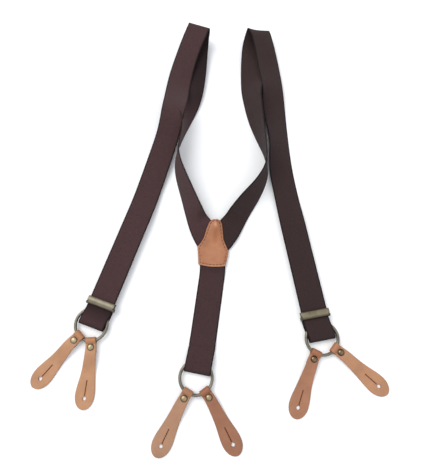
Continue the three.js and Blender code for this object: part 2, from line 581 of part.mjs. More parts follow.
// ---------------------------------------------------------------- adjusters
// Built with the strap along +Y, then turned to lie along it.
function adjusterFrame() {
  let s = toManifold(boxAt(-ADJ_HALF, ADJ_HALF, -5.6, 5.6, 7.3, 8.1));             // anvil under the strap
  for (const sx of [-1, 1]) {
    const x0 = sx > 0 ? ADJ_HALF - EAR_T : -ADJ_HALF, x1 = x0 + EAR_T;
    const ear = new THREE.Shape();                                                  // (y, z) outline
    ear.moveTo(-6.2, 1.3); ear.lineTo(-1.0, 1.3); ear.lineTo(-1.0, 7.3); ear.lineTo(4.6, 7.3); ear.lineTo(5.6, 8.1);
    ear.lineTo(-1.4, 9.2); ear.lineTo(-1.6, 12.6); ear.lineTo(-2.6, 13.9); ear.lineTo(-5.2, 13.9); ear.lineTo(-6.2, 12.6);
    ear.closePath();
    const g = new THREE.ExtrudeGeometry(ear, { depth: EAR_T, bevelEnabled: false });
    // shape x -> world y, shape y -> world z, depth -> world x
    g.applyMatrix4(new THREE.Matrix4().set(0, 0, 1, x0, 1, 0, 0, 0, 0, 1, 0, 0, 0, 0, 0, 1));
    s = s.add(toManifold(g));
  }
  s = s.add(toManifold(moved(rod(BAR_R, 2 * ADJ_HALF - 0.4, 12), 0, BAR_E, BAR_Z)));  // rear bar
  s = s.subtract(toManifold(moved(rod(PIN_R + 0.3, 2 * ADJ_HALF + 4, 14), 0, PIN_E, PIN_Z)));
  return fromManifold(s);
}

function adjusterLever() {
  const outline = (y0) => {
    const sh = new THREE.Shape();
    if (y0 === null) {
      // Full profile with the rolled hinge barrel.
      sh.moveTo(-5.5, 12.3);
      sh.lineTo(-5.0, 13.3); sh.lineTo(-3.9, 13.9); sh.lineTo(-1.8, 14.2); sh.lineTo(0.6, 14.1);
      sh.lineTo(3.0, 13.6); sh.lineTo(5.2, 12.7); sh.lineTo(5.5, 12.2); sh.lineTo(5.0, 11.6);
      sh.lineTo(2.8, 12.5); sh.lineTo(0.5, 13.0); sh.lineTo(-1.7, 13.0); sh.lineTo(-2.3, 12.2);
      sh.lineTo(-2.3, 11.6); sh.lineTo(-2.9, 10.7); sh.lineTo(-3.9, 10.35); sh.lineTo(-4.9, 10.7); sh.lineTo(-5.5, 11.6);
    } else {
      sh.moveTo(-1.1, 14.17); sh.lineTo(0.6, 14.1); sh.lineTo(3.0, 13.6); sh.lineTo(5.2, 12.7); sh.lineTo(5.5, 12.2);
      sh.lineTo(5.0, 11.6); sh.lineTo(2.8, 12.5); sh.lineTo(0.5, 13.0); sh.lineTo(-1.1, 13.0);
    }
    sh.closePath();
    return sh;
  };
  const along = (shape, half) => {
    const g = new THREE.ExtrudeGeometry(shape, { depth: 2 * half, bevelEnabled: false });
    g.applyMatrix4(new THREE.Matrix4().set(0, 0, 1, -half, 1, 0, 0, 0, 0, 1, 0, 0, 0, 0, 0, 1));
    return g;
  };
  const inner = ADJ_HALF - EAR_T - 0.3;
  let s = toManifold(along(outline(null), inner));
  s = s.add(toManifold(along(outline(0), ADJ_HALF)));
  s = s.subtract(toManifold(moved(rod(PIN_R + 0.3, 60, 14), 0, PIN_E, PIN_Z)));
  return fromManifold(s);
}

function adjusterPin() {
  const h = ADJ_HALF + 0.3, w = 0.7;
  const pts = [[0, -h - w], [0.9, -h - w], [1.25, -h - w + 0.3], [1.25, -h], [PIN_R, -h], [PIN_R, h], [1.25, h], [1.25, h + w - 0.3], [0.9, h + w], [0, h + w]];
  return new THREE.LatheGeometry(pts.map(([r, z]) => new THREE.Vector2(r, z)), 12).rotateZ(Math.PI / 2).translate(0, PIN_E, PIN_Z);
}

// Lower end of a shoulder strap: from the adjuster round the ring, back under
// it, round the rear bar, and its end under itself.
const LOOP_PATH = {
  left: { fold: -32.4, shift: -2.1 },
  right: { fold: -34.3, shift: 3.1 },
};
function strapLoop(side) {
  const { fold, shift } = LOOP_PATH[side];
  const r = (LAYER_Z - 2.6) / 2, zc = (LAYER_Z + 2.6) / 2;
  const path = [[-0.2, LAYER_Z], [-8, LAYER_Z], [-16, LAYER_Z], [-24, LAYER_Z], [fold + 3, LAYER_Z]];
  for (let k = 0; k <= 8; k++) {
    const f = Math.PI / 2 + (Math.PI * k) / 8;
    path.push([fold + r * Math.cos(f), zc + r * Math.sin(f)]);
  }
  path.push([fold + 6, 2.6], [-20, 2.6], [-12, 2.6], [-9.4, 2.75], [-7.4, 3.3], [-5.6, 4.0]);
  const rb = BAR_R + 0.25 + WEB_T / 2;
  for (let k = 0; k <= 7; k++) {
    const f = Math.PI / 2 + 0.25 - ((Math.PI + 0.25) * k) / 7;
    path.push([BAR_E + rb * Math.cos(f), BAR_Z + 0.02 + rb * Math.sin(f)]);
  }
  path.push([-6, 0.8], [-10, 0.8], [-21, 0.8]);
  const plan = (s) => ({ at: [0, s], along: V(0, 1, 0), side: V(1, 0, 0) });
  const ease = (s) => {
    const u = Math.min(1, Math.max(0, (-8 - s) / (-8 - fold)));
    return shift * u * u * (3 - 2 * u);
  };
  return strip(rowsFromPath(path.map(([s, z]) => [s, z, WEB_W / 2]), plan, ease), WEB_T);
}

for (const [side, { at, up }] of Object.entries(ADJUSTERS)) {
  const g = new THREE.Group();
  g.position.set(at[0], at[1], 0);
  g.rotation.z = Math.atan2(up[1], up[0]) - Math.PI / 2;
  suspenders.add(g);
  add(g, `adjuster_frame_${side}`, adjusterFrame(), BRASS());
  add(g, `adjuster_lever_${side}`, adjusterLever(), BRASS());
  add(g, `adjuster_pin_${side}`, adjusterPin(), BRASS());
  add(g, `strap_loop_${side}`, strapLoop(side), WEBBING());
}

export default suspenders;
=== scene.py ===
# Looks for the suspenders: woven elastic straps, stitched leather crosspatch,
# leather button tabs, antique brass rings, rivets and hinged slide adjusters.
# Lengths below are millimetres in the layout's own plan; mm() turns them into
# the model's frame in metres.
import sys
import bpy, bmesh, json, math
import numpy as np
from mathutils import Vector, noise
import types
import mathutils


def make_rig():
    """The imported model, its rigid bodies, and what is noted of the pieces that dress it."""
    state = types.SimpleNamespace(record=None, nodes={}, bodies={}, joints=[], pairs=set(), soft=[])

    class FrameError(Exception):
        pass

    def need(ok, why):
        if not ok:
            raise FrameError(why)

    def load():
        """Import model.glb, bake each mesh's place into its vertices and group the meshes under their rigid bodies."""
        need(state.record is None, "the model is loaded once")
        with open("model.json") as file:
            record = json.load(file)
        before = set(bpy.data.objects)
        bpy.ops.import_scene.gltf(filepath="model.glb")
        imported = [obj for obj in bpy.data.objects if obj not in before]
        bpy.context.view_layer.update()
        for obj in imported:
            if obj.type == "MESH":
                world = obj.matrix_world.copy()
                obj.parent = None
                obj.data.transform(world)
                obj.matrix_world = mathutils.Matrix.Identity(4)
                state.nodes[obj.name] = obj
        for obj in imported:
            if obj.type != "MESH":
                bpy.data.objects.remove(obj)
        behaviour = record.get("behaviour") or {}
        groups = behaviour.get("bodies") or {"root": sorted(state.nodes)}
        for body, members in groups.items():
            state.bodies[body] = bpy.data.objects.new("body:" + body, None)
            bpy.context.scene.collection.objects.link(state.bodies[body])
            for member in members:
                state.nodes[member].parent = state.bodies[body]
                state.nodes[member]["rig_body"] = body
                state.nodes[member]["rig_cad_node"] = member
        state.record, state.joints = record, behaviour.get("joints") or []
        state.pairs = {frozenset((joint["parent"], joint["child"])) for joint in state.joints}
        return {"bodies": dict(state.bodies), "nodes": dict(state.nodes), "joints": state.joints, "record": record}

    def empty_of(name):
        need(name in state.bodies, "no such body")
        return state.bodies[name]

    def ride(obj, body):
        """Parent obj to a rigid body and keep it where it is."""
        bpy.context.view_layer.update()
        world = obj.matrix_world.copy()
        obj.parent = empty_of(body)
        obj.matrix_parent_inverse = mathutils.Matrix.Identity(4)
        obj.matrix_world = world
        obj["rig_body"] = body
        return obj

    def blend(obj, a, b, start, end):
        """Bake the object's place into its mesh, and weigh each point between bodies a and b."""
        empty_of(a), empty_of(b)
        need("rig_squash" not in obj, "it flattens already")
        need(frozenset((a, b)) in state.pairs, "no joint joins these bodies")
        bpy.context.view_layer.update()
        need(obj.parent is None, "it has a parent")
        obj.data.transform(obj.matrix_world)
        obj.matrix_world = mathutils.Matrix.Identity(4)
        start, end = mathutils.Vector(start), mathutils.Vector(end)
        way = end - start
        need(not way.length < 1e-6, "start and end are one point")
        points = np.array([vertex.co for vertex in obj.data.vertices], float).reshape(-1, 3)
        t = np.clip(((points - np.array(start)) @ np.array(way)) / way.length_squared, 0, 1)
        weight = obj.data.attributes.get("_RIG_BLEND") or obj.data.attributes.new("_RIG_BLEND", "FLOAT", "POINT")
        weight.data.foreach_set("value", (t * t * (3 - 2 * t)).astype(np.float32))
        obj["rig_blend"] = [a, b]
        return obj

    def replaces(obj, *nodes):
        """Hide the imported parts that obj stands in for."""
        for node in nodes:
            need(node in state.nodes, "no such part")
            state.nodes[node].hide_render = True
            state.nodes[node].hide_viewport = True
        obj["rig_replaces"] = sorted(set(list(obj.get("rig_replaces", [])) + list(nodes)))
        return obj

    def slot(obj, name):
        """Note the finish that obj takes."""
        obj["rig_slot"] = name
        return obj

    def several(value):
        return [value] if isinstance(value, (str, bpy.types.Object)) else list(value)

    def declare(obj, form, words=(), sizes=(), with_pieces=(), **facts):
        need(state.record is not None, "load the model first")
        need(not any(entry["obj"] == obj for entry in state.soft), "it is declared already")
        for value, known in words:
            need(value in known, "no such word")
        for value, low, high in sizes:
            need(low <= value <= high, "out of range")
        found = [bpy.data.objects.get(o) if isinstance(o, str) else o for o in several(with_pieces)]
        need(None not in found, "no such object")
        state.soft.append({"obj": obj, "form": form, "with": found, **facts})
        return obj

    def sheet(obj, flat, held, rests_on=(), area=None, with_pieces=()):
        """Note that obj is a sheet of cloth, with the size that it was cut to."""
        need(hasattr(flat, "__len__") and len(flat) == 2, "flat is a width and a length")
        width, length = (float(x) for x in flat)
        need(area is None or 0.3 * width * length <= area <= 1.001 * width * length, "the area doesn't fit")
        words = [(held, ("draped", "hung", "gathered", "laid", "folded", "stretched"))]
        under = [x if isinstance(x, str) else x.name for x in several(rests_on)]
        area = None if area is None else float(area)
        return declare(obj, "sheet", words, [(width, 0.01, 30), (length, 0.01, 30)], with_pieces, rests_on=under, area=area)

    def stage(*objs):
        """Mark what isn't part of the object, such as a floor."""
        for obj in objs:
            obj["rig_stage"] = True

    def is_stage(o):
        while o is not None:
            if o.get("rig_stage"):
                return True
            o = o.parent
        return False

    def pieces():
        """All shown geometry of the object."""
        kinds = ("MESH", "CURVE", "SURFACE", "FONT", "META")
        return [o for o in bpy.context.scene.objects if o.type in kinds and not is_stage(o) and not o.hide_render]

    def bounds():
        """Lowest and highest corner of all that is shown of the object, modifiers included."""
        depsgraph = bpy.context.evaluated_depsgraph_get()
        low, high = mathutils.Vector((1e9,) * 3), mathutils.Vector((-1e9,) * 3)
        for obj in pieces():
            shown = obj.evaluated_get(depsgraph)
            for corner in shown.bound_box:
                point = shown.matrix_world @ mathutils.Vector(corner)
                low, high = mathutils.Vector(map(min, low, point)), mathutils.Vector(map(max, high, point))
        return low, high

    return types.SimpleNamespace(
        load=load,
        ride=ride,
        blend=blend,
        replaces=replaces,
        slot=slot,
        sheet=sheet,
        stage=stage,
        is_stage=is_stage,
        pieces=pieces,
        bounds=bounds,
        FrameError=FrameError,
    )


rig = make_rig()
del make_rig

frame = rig.load()
CAD_BOX = [list(map(float, c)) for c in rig.bounds()]

# ------------------------------------------------------------------ layout
ORIGIN = (2.187, -26.644)
WEB_W, WEB_T, LAYER_Z = 38.0, 1.6, 9.2
RING_R, WIRE_R, RING_Z = 22.8, 2.2, 5.9
TAB_T, TAB_BORE, TAB_SAG = 2.1, 3.05, 0.55
HOLE_A, HOLE_R, SLIT_A, SLIT_W, RIVET_A, FLAP_A, TIP_A = 78.0, 2.65, 53.0, 0.9, 9.2, 16.6, 93.2
ADJ_HALF, EAR_T = 20.7, 0.8
PIN_E, PIN_Z, BAR_E, BAR_Z, BAR_R = -3.9, 12.0, -3.6, 2.55, 0.75
PATCH_WEB_Z = 2.9
RINGS = {'left': (-172.62, -133.55), 'right': (158.92, -152.91), 'back': (-21.0, -206.55)}
ADJ = {'left': ((-158.88, -103.52), (0.34304, 0.93932)), 'right': ((149.57, -118.55), (-0.18355, 0.98301))}
TABS = {
    "left_outer": {"ring": "left", "seat": -46.96, "blade": -40.02},
    "left_inner": {"ring": "left", "seat": 3.24, "blade": -5.72},
    "back_left": {"ring": "back", "seat": -31.65, "blade": -26.09},
    "back_right": {"ring": "back", "seat": 35.99, "blade": 27.4},
    "right_inner": {"ring": "right", "seat": -26.09, "blade": -20.02},
    "right_outer": {"ring": "right", "seat": 52.91, "blade": 47.99},
}
TAB_HALF = [(-8, 7.2), (6, 7.35), (15, 7.9), (25, 8.4), (35, 9.1), (45, 10.1), (50, 10.8), (55, 11.6), (60, 12.4),
            (65, 13.1), (70, 13.6), (74, 13.6), (78, 13.1), (82, 12.0), (86, 10.1), (89, 8.0), (91, 6.0), (92.4, 3.9), (93.2, 1.7)]
PATCH = [(-2.8, 18.3), (0.3, 21.8), (4.7, 23.0), (10.1, 22.8), (14.1, 20.9), (16.6, 16.3), (17.7, 7.8), (18.9, -7.0), (22.2, -15.2), (26.5, -24.9), (25.4, -31.0), (21.9, -46.7), (20.0, -47.6), (12.7, -48.5), (5.4, -48.9), (-4.6, -48.0), (-11.9, -46.5), (-18.1, -44.9), (-19.0, -43.2), (-19.5, -30.3), (-20.5, -18.0), (-14.8, -11.0), (-10.9, -4.2), (-6.9, 8.5)]
BACK_LINE = [(2.9, -26, 2.9), (2.6, -38, 2.9), (2.4, -49.5, 2.9), (2.0, -57, 1.8), (1.2, -64, 0.95), (-0.2, -74, 0.8), (-2.7, -92, 0.8), (-5.5, -112, 0.8), (-8.3, -132, 0.8), (-10.0, -144, 0.8), (-10.8, -150, 0.85), (-11.5, -154.5, 1.6), (-12.2, -159.5, 2.65), (-12.8, -164.6, 2.8), (-13.4, -167.6, 3.6), (-14.2, -171.5, 5.6), (-14.6, -173.5, 6.6), (-15.3, -177.4, 8.4), (-15.7, -179.4, 9.15), (-16.6, -184, 9.2), (-17.8, -190.2, 9.2), (-19.06, -196.59, 9.2)]
# Edge lines of the shoulder straps: left edge xyz, right edge xyz, every 8 mm.
STRAPS = {
    "left": [
        [-176.66, -96.82, 9.20, -140.96, -109.85, 9.20],
        [-173.98, -89.49, 9.20, -138.29, -102.53, 9.20],
        [-171.24, -81.98, 9.20, -135.54, -95.01, 9.20],
        [-168.49, -74.46, 9.20, -132.80, -87.50, 9.20],
        [-165.75, -66.95, 9.20, -130.05, -79.98, 9.20],
        [-163.00, -59.43, 9.20, -127.31, -72.47, 9.20],
        [-160.26, -51.92, 9.20, -124.57, -64.95, 9.20],
        [-157.52, -44.40, 9.20, -121.82, -57.44, 9.20],
        [-154.77, -36.89, 9.20, -119.08, -49.92, 9.20],
        [-152.03, -29.37, 9.20, -116.33, -42.41, 9.20],
        [-149.28, -21.86, 9.20, -113.59, -34.90, 9.20],
        [-146.54, -14.34, 9.20, -110.84, -27.38, 9.20],
        [-143.79, -6.83, 9.20, -108.10, -19.87, 9.20],
        [-141.05, 0.68, 9.20, -105.35, -12.35, 9.20],
        [-138.30, 8.20, 9.20, -102.61, -4.84, 9.20],
        [-135.56, 15.71, 9.20, -99.87, 2.68, 9.20],
        [-132.82, 23.23, 9.20, -97.12, 10.19, 9.20],
        [-130.07, 30.74, 9.20, -94.38, 17.71, 9.20],
        [-127.44, 38.15, 8.87, -91.67, 25.33, 8.77],
        [-124.88, 45.56, 8.41, -89.01, 33.00, 8.18],
        [-122.43, 53.00, 7.83, -86.46, 40.73, 7.42],
        [-120.08, 60.49, 7.21, -84.02, 48.51, 6.63],
        [-117.80, 68.06, 6.67, -81.67, 56.31, 5.97],
        [-115.55, 75.68, 6.24, -79.36, 64.10, 5.53],
        [-113.29, 83.35, 5.94, -77.07, 71.88, 5.34],
        [-111.00, 91.06, 5.76, -74.76, 79.63, 5.40],
        [-108.66, 98.82, 5.74, -72.44, 87.35, 5.71],
        [-106.27, 106.61, 5.94, -70.08, 95.02, 6.28],
        [-103.81, 114.42, 6.40, -67.70, 102.62, 7.14],
        [-101.29, 122.20, 7.13, -65.28, 110.13, 8.32],
        [-98.70, 129.96, 8.15, -62.82, 117.56, 9.82],
        [-96.07, 137.65, 9.44, -60.33, 124.93, 11.65],
        [-93.40, 145.23, 11.03, -57.80, 132.23, 13.78],
        [-90.74, 152.66, 12.97, -55.23, 139.51, 16.21],
        [-88.16, 159.87, 15.36, -52.68, 146.76, 19.01],
        [-85.76, 166.79, 18.26, -50.21, 154.00, 22.26],
        [-83.61, 173.42, 21.61, -47.88, 161.23, 26.00],
        [-81.73, 179.83, 25.21, -45.75, 168.56, 29.99],
        [-80.09, 186.19, 28.62, -43.78, 176.13, 33.59],
        [-78.66, 192.68, 31.27, -41.95, 184.03, 35.90],
        [-77.43, 199.42, 32.60, -40.30, 192.17, 36.21],
        [-76.40, 206.35, 32.31, -38.94, 200.31, 34.42],
        [-75.58, 213.37, 30.54, -37.94, 208.18, 31.04],
        [-74.94, 220.47, 27.72, -37.26, 215.70, 26.75],
        [-74.42, 227.74, 24.41, -36.79, 222.92, 22.12],
        [-73.90, 235.30, 21.01, -36.42, 230.03, 17.53],
        [-73.29, 243.24, 17.78, -36.04, 237.20, 13.32],
        [-72.51, 251.58, 14.89, -35.50, 244.55, 9.86],
        [-71.47, 260.23, 12.48, -34.68, 252.10, 7.55],
        [-70.11, 269.12, 10.68, -33.51, 259.75, 6.64],
        [-68.35, 278.15, 9.56, -31.99, 267.37, 7.10],
        [-66.16, 287.21, 9.18, -30.23, 274.87, 8.63],
        [-63.59, 296.23, 9.54, -28.27, 282.27, 10.77],
        [-60.72, 305.12, 10.54, -26.11, 289.64, 13.14],
        [-57.63, 313.87, 12.40, -23.73, 297.05, 15.55],
        [-54.34, 322.47, 14.70, -21.10, 304.51, 17.95],
        [-50.88, 330.91, 17.30, -18.21, 312.02, 20.33],
        [-47.30, 339.18, 20.00, -15.04, 319.61, 22.59],
        [-43.63, 347.27, 22.70, -11.62, 327.26, 24.67],
        [-39.93, 355.24, 25.20, -8.03, 334.96, 26.59],
        [-37.00, 361.80, 26.20, -2.90, 347.40, 28.30],
        [-36.90, 362.40, 21.80, -1.70, 350.10, 24.40],
        [-39.30, 352.40, 18.00, -2.10, 345.00, 19.60],
        [-40.88, 342.08, 14.40, -3.04, 340.63, 18.64],
        [-41.66, 335.72, 12.20, -3.84, 332.60, 15.67],
        [-42.33, 327.96, 10.60, -4.54, 324.06, 13.96],
        [-42.98, 319.60, 9.60, -5.20, 315.60, 12.66],
        [-43.60, 311.18, 8.60, -5.86, 307.12, 11.36],
        [-44.18, 302.69, 7.20, -6.50, 298.58, 10.11],
        [-44.76, 294.18, 5.57, -7.16, 289.94, 9.00],
        [-45.42, 285.72, 4.14, -7.89, 281.24, 8.09],
        [-46.20, 277.40, 3.23, -8.74, 272.56, 7.36],
        [-47.17, 269.29, 3.00, -9.73, 263.96, 6.76],
        [-48.31, 261.45, 3.66, -10.88, 255.45, 6.28],
        [-49.56, 253.92, 5.37, -12.18, 247.07, 5.84],
        [-50.78, 246.70, 8.14, -13.71, 238.83, 5.33],
        [-51.95, 239.69, 11.78, -15.56, 230.82, 4.64],
        [-53.01, 232.75, 15.97, -17.80, 223.13, 3.75],
        [-53.73, 225.73, 20.37, -20.42, 215.81, 2.74],
        [-53.87, 218.55, 24.73, -23.33, 208.81, 1.79],
        [-53.23, 211.21, 28.86, -26.40, 202.02, 1.05],
        [-51.72, 203.70, 32.51, -29.59, 195.32, 0.95],
        [-49.51, 195.94, 35.46, -32.85, 188.62, 0.95],
        [-47.14, 187.83, 37.56, -36.13, 181.85, 0.95],
        [-45.33, 179.34, 38.91, -39.36, 174.93, 1.22],
        [-44.59, 170.63, 39.76, -42.49, 167.82, 1.90],
        [-44.97, 161.90, 40.32, -45.56, 160.52, 2.54],
        [-46.13, 153.32, 40.72, -48.56, 153.04, 3.05],
        [-47.54, 144.89, 40.98, -51.35, 145.35, 3.41],
        [-48.64, 136.59, 41.10, -53.71, 137.38, 3.62],
        [-48.93, 128.41, 41.05, -55.49, 129.14, 3.72],
        [-48.11, 120.34, 40.76, -56.56, 120.69, 3.75],
        [-46.26, 112.43, 40.21, -56.88, 112.16, 3.73],
        [-43.60, 104.64, 39.41, -56.45, 103.64, 3.66],
        [-40.45, 96.94, 38.42, -55.32, 95.20, 3.49],
        [-37.08, 89.30, 37.32, -53.61, 86.87, 3.19],
        [-33.64, 81.68, 36.17, -51.53, 78.63, 2.79],
        [-30.14, 74.06, 34.98, -49.28, 70.46, 2.35],
        [-26.60, 66.46, 33.74, -47.03, 62.34, 1.96],
        [-23.05, 58.86, 32.42, -44.88, 54.26, 1.66],
        [-19.48, 51.30, 30.97, -42.83, 46.21, 1.43],
        [-15.81, 43.87, 29.27, -40.82, 38.21, 1.23],
        [-11.93, 37.44, 25.01, -38.79, 30.21, 1.21],
        [-7.70, 32.00, 18.54, -36.65, 22.16, 1.56],
        [-3.22, 26.61, 13.25, -34.35, 14.17, 2.17],
        [1.11, 20.67, 11.09, -31.77, 6.30, 2.87],
        [4.83, 14.29, 11.09, -28.74, -1.41, 3.47],
        [7.89, 8.00, 10.63, -25.22, -8.81, 3.53],
        [10.98, 2.54, 8.70, -20.81, -16.71, 3.26],
        [14.57, -2.29, 6.86, -15.39, -24.55, 2.93],
        [18.05, -7.18, 6.86, -11.91, -29.44, 2.93],
        [21.52, -12.07, 6.86, -8.44, -34.33, 2.93],
    ],
    "right": [
        [130.85, -121.84, 9.20, 168.21, -114.86, 9.20],
        [129.42, -114.17, 9.20, 166.78, -107.20, 9.20],
        [127.95, -106.31, 9.20, 165.31, -99.33, 9.20],
        [126.49, -98.44, 9.20, 163.84, -91.47, 9.20],
        [125.02, -90.58, 9.20, 162.37, -83.60, 9.20],
        [123.55, -82.72, 9.20, 160.90, -75.74, 9.20],
        [122.08, -74.85, 9.20, 159.44, -67.88, 9.20],
        [120.61, -66.99, 9.20, 157.97, -60.01, 9.20],
        [119.14, -59.12, 9.20, 156.50, -52.15, 9.20],
        [117.68, -51.26, 9.20, 155.03, -44.28, 9.20],
        [116.21, -43.39, 9.20, 153.56, -36.42, 9.20],
        [114.74, -35.53, 9.20, 152.09, -28.56, 9.20],
        [113.27, -27.67, 9.20, 150.62, -20.69, 9.20],
        [111.80, -19.80, 9.20, 149.16, -12.83, 9.20],
        [110.33, -11.94, 9.20, 147.69, -4.96, 9.20],
        [108.87, -4.07, 9.20, 146.22, 2.90, 9.20],
        [107.40, 3.79, 9.20, 144.75, 10.76, 9.20],
        [105.93, 11.65, 9.20, 143.28, 18.63, 9.20],
        [104.57, 19.55, 8.92, 141.96, 26.30, 8.27],
        [103.28, 27.45, 8.53, 140.69, 33.94, 7.02],
        [102.06, 35.38, 8.02, 139.47, 41.56, 5.48],
        [100.91, 43.30, 7.48, 138.28, 49.22, 3.96],
        [99.75, 51.22, 6.98, 137.08, 56.96, 2.74],
        [98.57, 59.12, 6.56, 135.86, 64.77, 1.89],
        [97.36, 67.01, 6.21, 134.63, 72.61, 1.35],
        [96.12, 74.91, 5.92, 133.40, 80.42, 1.04],
        [94.89, 82.82, 5.78, 132.19, 88.18, 0.95],
        [93.73, 90.77, 5.93, 131.03, 95.87, 0.95],
        [92.71, 98.72, 6.59, 129.96, 103.49, 0.95],
        [91.92, 106.67, 7.90, 128.99, 111.07, 0.95],
        [91.45, 114.57, 9.83, 128.13, 118.63, 0.95],
        [91.30, 122.44, 12.15, 127.36, 126.19, 0.95],
        [91.38, 130.32, 14.51, 126.64, 133.78, 0.95],
        [91.54, 138.26, 16.52, 125.98, 141.42, 0.95],
        [91.57, 146.26, 17.87, 125.38, 149.11, 0.95],
        [91.29, 154.28, 18.42, 124.85, 156.88, 0.95],
        [90.67, 162.25, 18.19, 124.37, 164.71, 0.95],
        [89.78, 170.13, 17.36, 123.90, 172.61, 0.95],
        [88.73, 177.91, 16.18, 123.44, 180.55, 0.95],
        [87.63, 185.64, 14.87, 122.98, 188.52, 1.22],
        [86.54, 193.34, 13.65, 122.50, 196.49, 1.76],
        [85.53, 201.07, 12.76, 121.98, 204.44, 2.55],
        [84.68, 208.84, 12.52, 121.43, 212.33, 3.52],
        [84.01, 216.63, 13.14, 120.86, 220.18, 4.57],
        [83.56, 224.40, 14.66, 120.28, 228.00, 5.59],
        [83.28, 232.16, 16.74, 119.69, 235.80, 6.48],
        [83.04, 239.98, 18.71, 119.05, 243.63, 7.13],
        [82.64, 247.90, 19.85, 118.37, 251.54, 7.42],
        [81.94, 255.86, 19.84, 117.64, 259.55, 7.33],
        [80.99, 263.79, 18.98, 116.82, 267.68, 6.96],
        [79.90, 271.62, 17.89, 115.91, 275.92, 6.53],
        [78.79, 279.35, 17.13, 114.87, 284.26, 6.28],
        [77.65, 286.98, 16.96, 113.69, 292.67, 6.36],
        [76.46, 294.53, 17.45, 112.36, 301.09, 6.84],
        [75.21, 302.03, 18.54, 110.86, 309.46, 7.67],
        [73.90, 309.51, 20.10, 109.21, 317.75, 8.75],
        [72.48, 317.04, 21.92, 107.44, 325.91, 9.98],
        [70.89, 324.63, 23.69, 105.56, 333.95, 11.22],
        [69.08, 332.30, 25.14, 103.56, 341.88, 12.37],
        [67.10, 340.01, 26.31, 101.49, 349.76, 13.42],
        [64.25, 347.46, 25.82, 98.55, 356.99, 12.53],
        [61.69, 354.34, 23.43, 95.96, 351.47, 7.26],
        [58.85, 348.15, 19.05, 93.57, 344.23, 4.11],
        [56.47, 341.08, 15.51, 91.74, 336.46, 2.15],
        [54.42, 333.73, 12.33, 90.49, 328.48, 1.60],
        [52.91, 325.91, 10.04, 89.86, 320.79, 2.82],
        [52.01, 317.59, 8.95, 89.58, 313.52, 4.92],
        [51.32, 309.18, 7.81, 89.19, 306.14, 6.83],
        [50.84, 300.72, 6.60, 88.73, 298.55, 8.47],
        [50.52, 292.28, 5.30, 88.20, 290.72, 9.94],
        [50.32, 283.86, 3.99, 87.58, 282.74, 11.40],
        [50.24, 275.42, 2.78, 86.83, 274.73, 13.01],
        [50.26, 266.92, 1.79, 85.96, 266.85, 15.00],
        [50.41, 258.36, 1.12, 84.93, 259.22, 17.56],
        [50.82, 249.77, 0.95, 83.68, 251.83, 20.72],
        [51.64, 241.24, 0.95, 82.32, 244.50, 24.13],
        [52.89, 232.85, 0.95, 81.18, 236.97, 27.20],
        [54.41, 224.57, 0.95, 80.54, 229.14, 29.59],
        [56.02, 216.36, 0.95, 80.44, 221.07, 31.30],
        [57.71, 208.15, 0.95, 80.70, 212.89, 32.56],
        [59.60, 199.95, 1.01, 81.12, 204.71, 33.61],
        [61.82, 191.81, 0.99, 81.58, 196.57, 34.56],
        [64.39, 183.78, 0.95, 82.02, 188.42, 35.43],
        [67.19, 175.85, 0.95, 82.44, 180.25, 36.23],
        [70.14, 168.03, 0.95, 82.84, 172.02, 36.96],
        [73.22, 160.33, 0.95, 83.22, 163.73, 37.60],
        [76.47, 152.74, 0.95, 83.61, 155.40, 38.14],
        [79.80, 145.22, 0.95, 83.98, 147.02, 38.53],
        [82.97, 137.65, 0.95, 84.34, 138.63, 38.77],
        [85.69, 129.88, 0.95, 84.63, 130.27, 38.87],
        [87.79, 121.84, 1.01, 84.71, 122.00, 38.88],
        [89.21, 113.56, 1.15, 84.19, 113.94, 38.81],
        [89.78, 105.15, 1.29, 82.62, 106.24, 38.60],
        [89.28, 96.77, 1.43, 79.85, 98.96, 38.17],
        [87.64, 88.54, 1.50, 76.10, 92.06, 37.53],
        [85.06, 80.52, 1.49, 71.72, 85.48, 36.72],
        [81.89, 72.69, 1.44, 66.86, 79.22, 35.73],
        [78.38, 65.03, 1.43, 61.56, 73.32, 34.48],
        [74.60, 57.60, 1.44, 55.92, 67.64, 32.97],
        [70.59, 50.45, 1.41, 50.14, 61.92, 31.30],
        [66.47, 43.52, 1.30, 44.41, 55.95, 29.63],
        [62.39, 36.72, 1.13, 38.84, 49.67, 27.99],
        [58.47, 29.94, 0.95, 33.44, 43.19, 26.29],
        [54.74, 23.03, 1.04, 28.22, 37.30, 22.54],
        [51.16, 15.93, 1.53, 23.08, 32.03, 17.11],
        [47.63, 8.71, 2.19, 17.97, 26.68, 12.86],
        [43.87, 1.46, 3.10, 13.11, 20.84, 11.36],
        [39.74, -5.58, 3.53, 8.71, 14.72, 11.60],
        [35.16, -12.31, 3.44, 4.85, 8.97, 10.47],
        [29.77, -19.27, 3.14, 0.79, 3.84, 8.64],
        [23.73, -26.14, 2.90, -3.65, -0.81, 6.89],
        [19.69, -30.58, 2.90, -7.68, -5.25, 6.89],
        [15.65, -35.02, 2.90, -11.72, -9.68, 6.89],
    ],
}


def mm(p):
    p = np.asarray(p, float)
    return np.stack([(p[..., 0] + ORIGIN[0]) / 1000, (p[..., 1] + ORIGIN[1]) / 1000, p[..., 2] / 1000], -1)


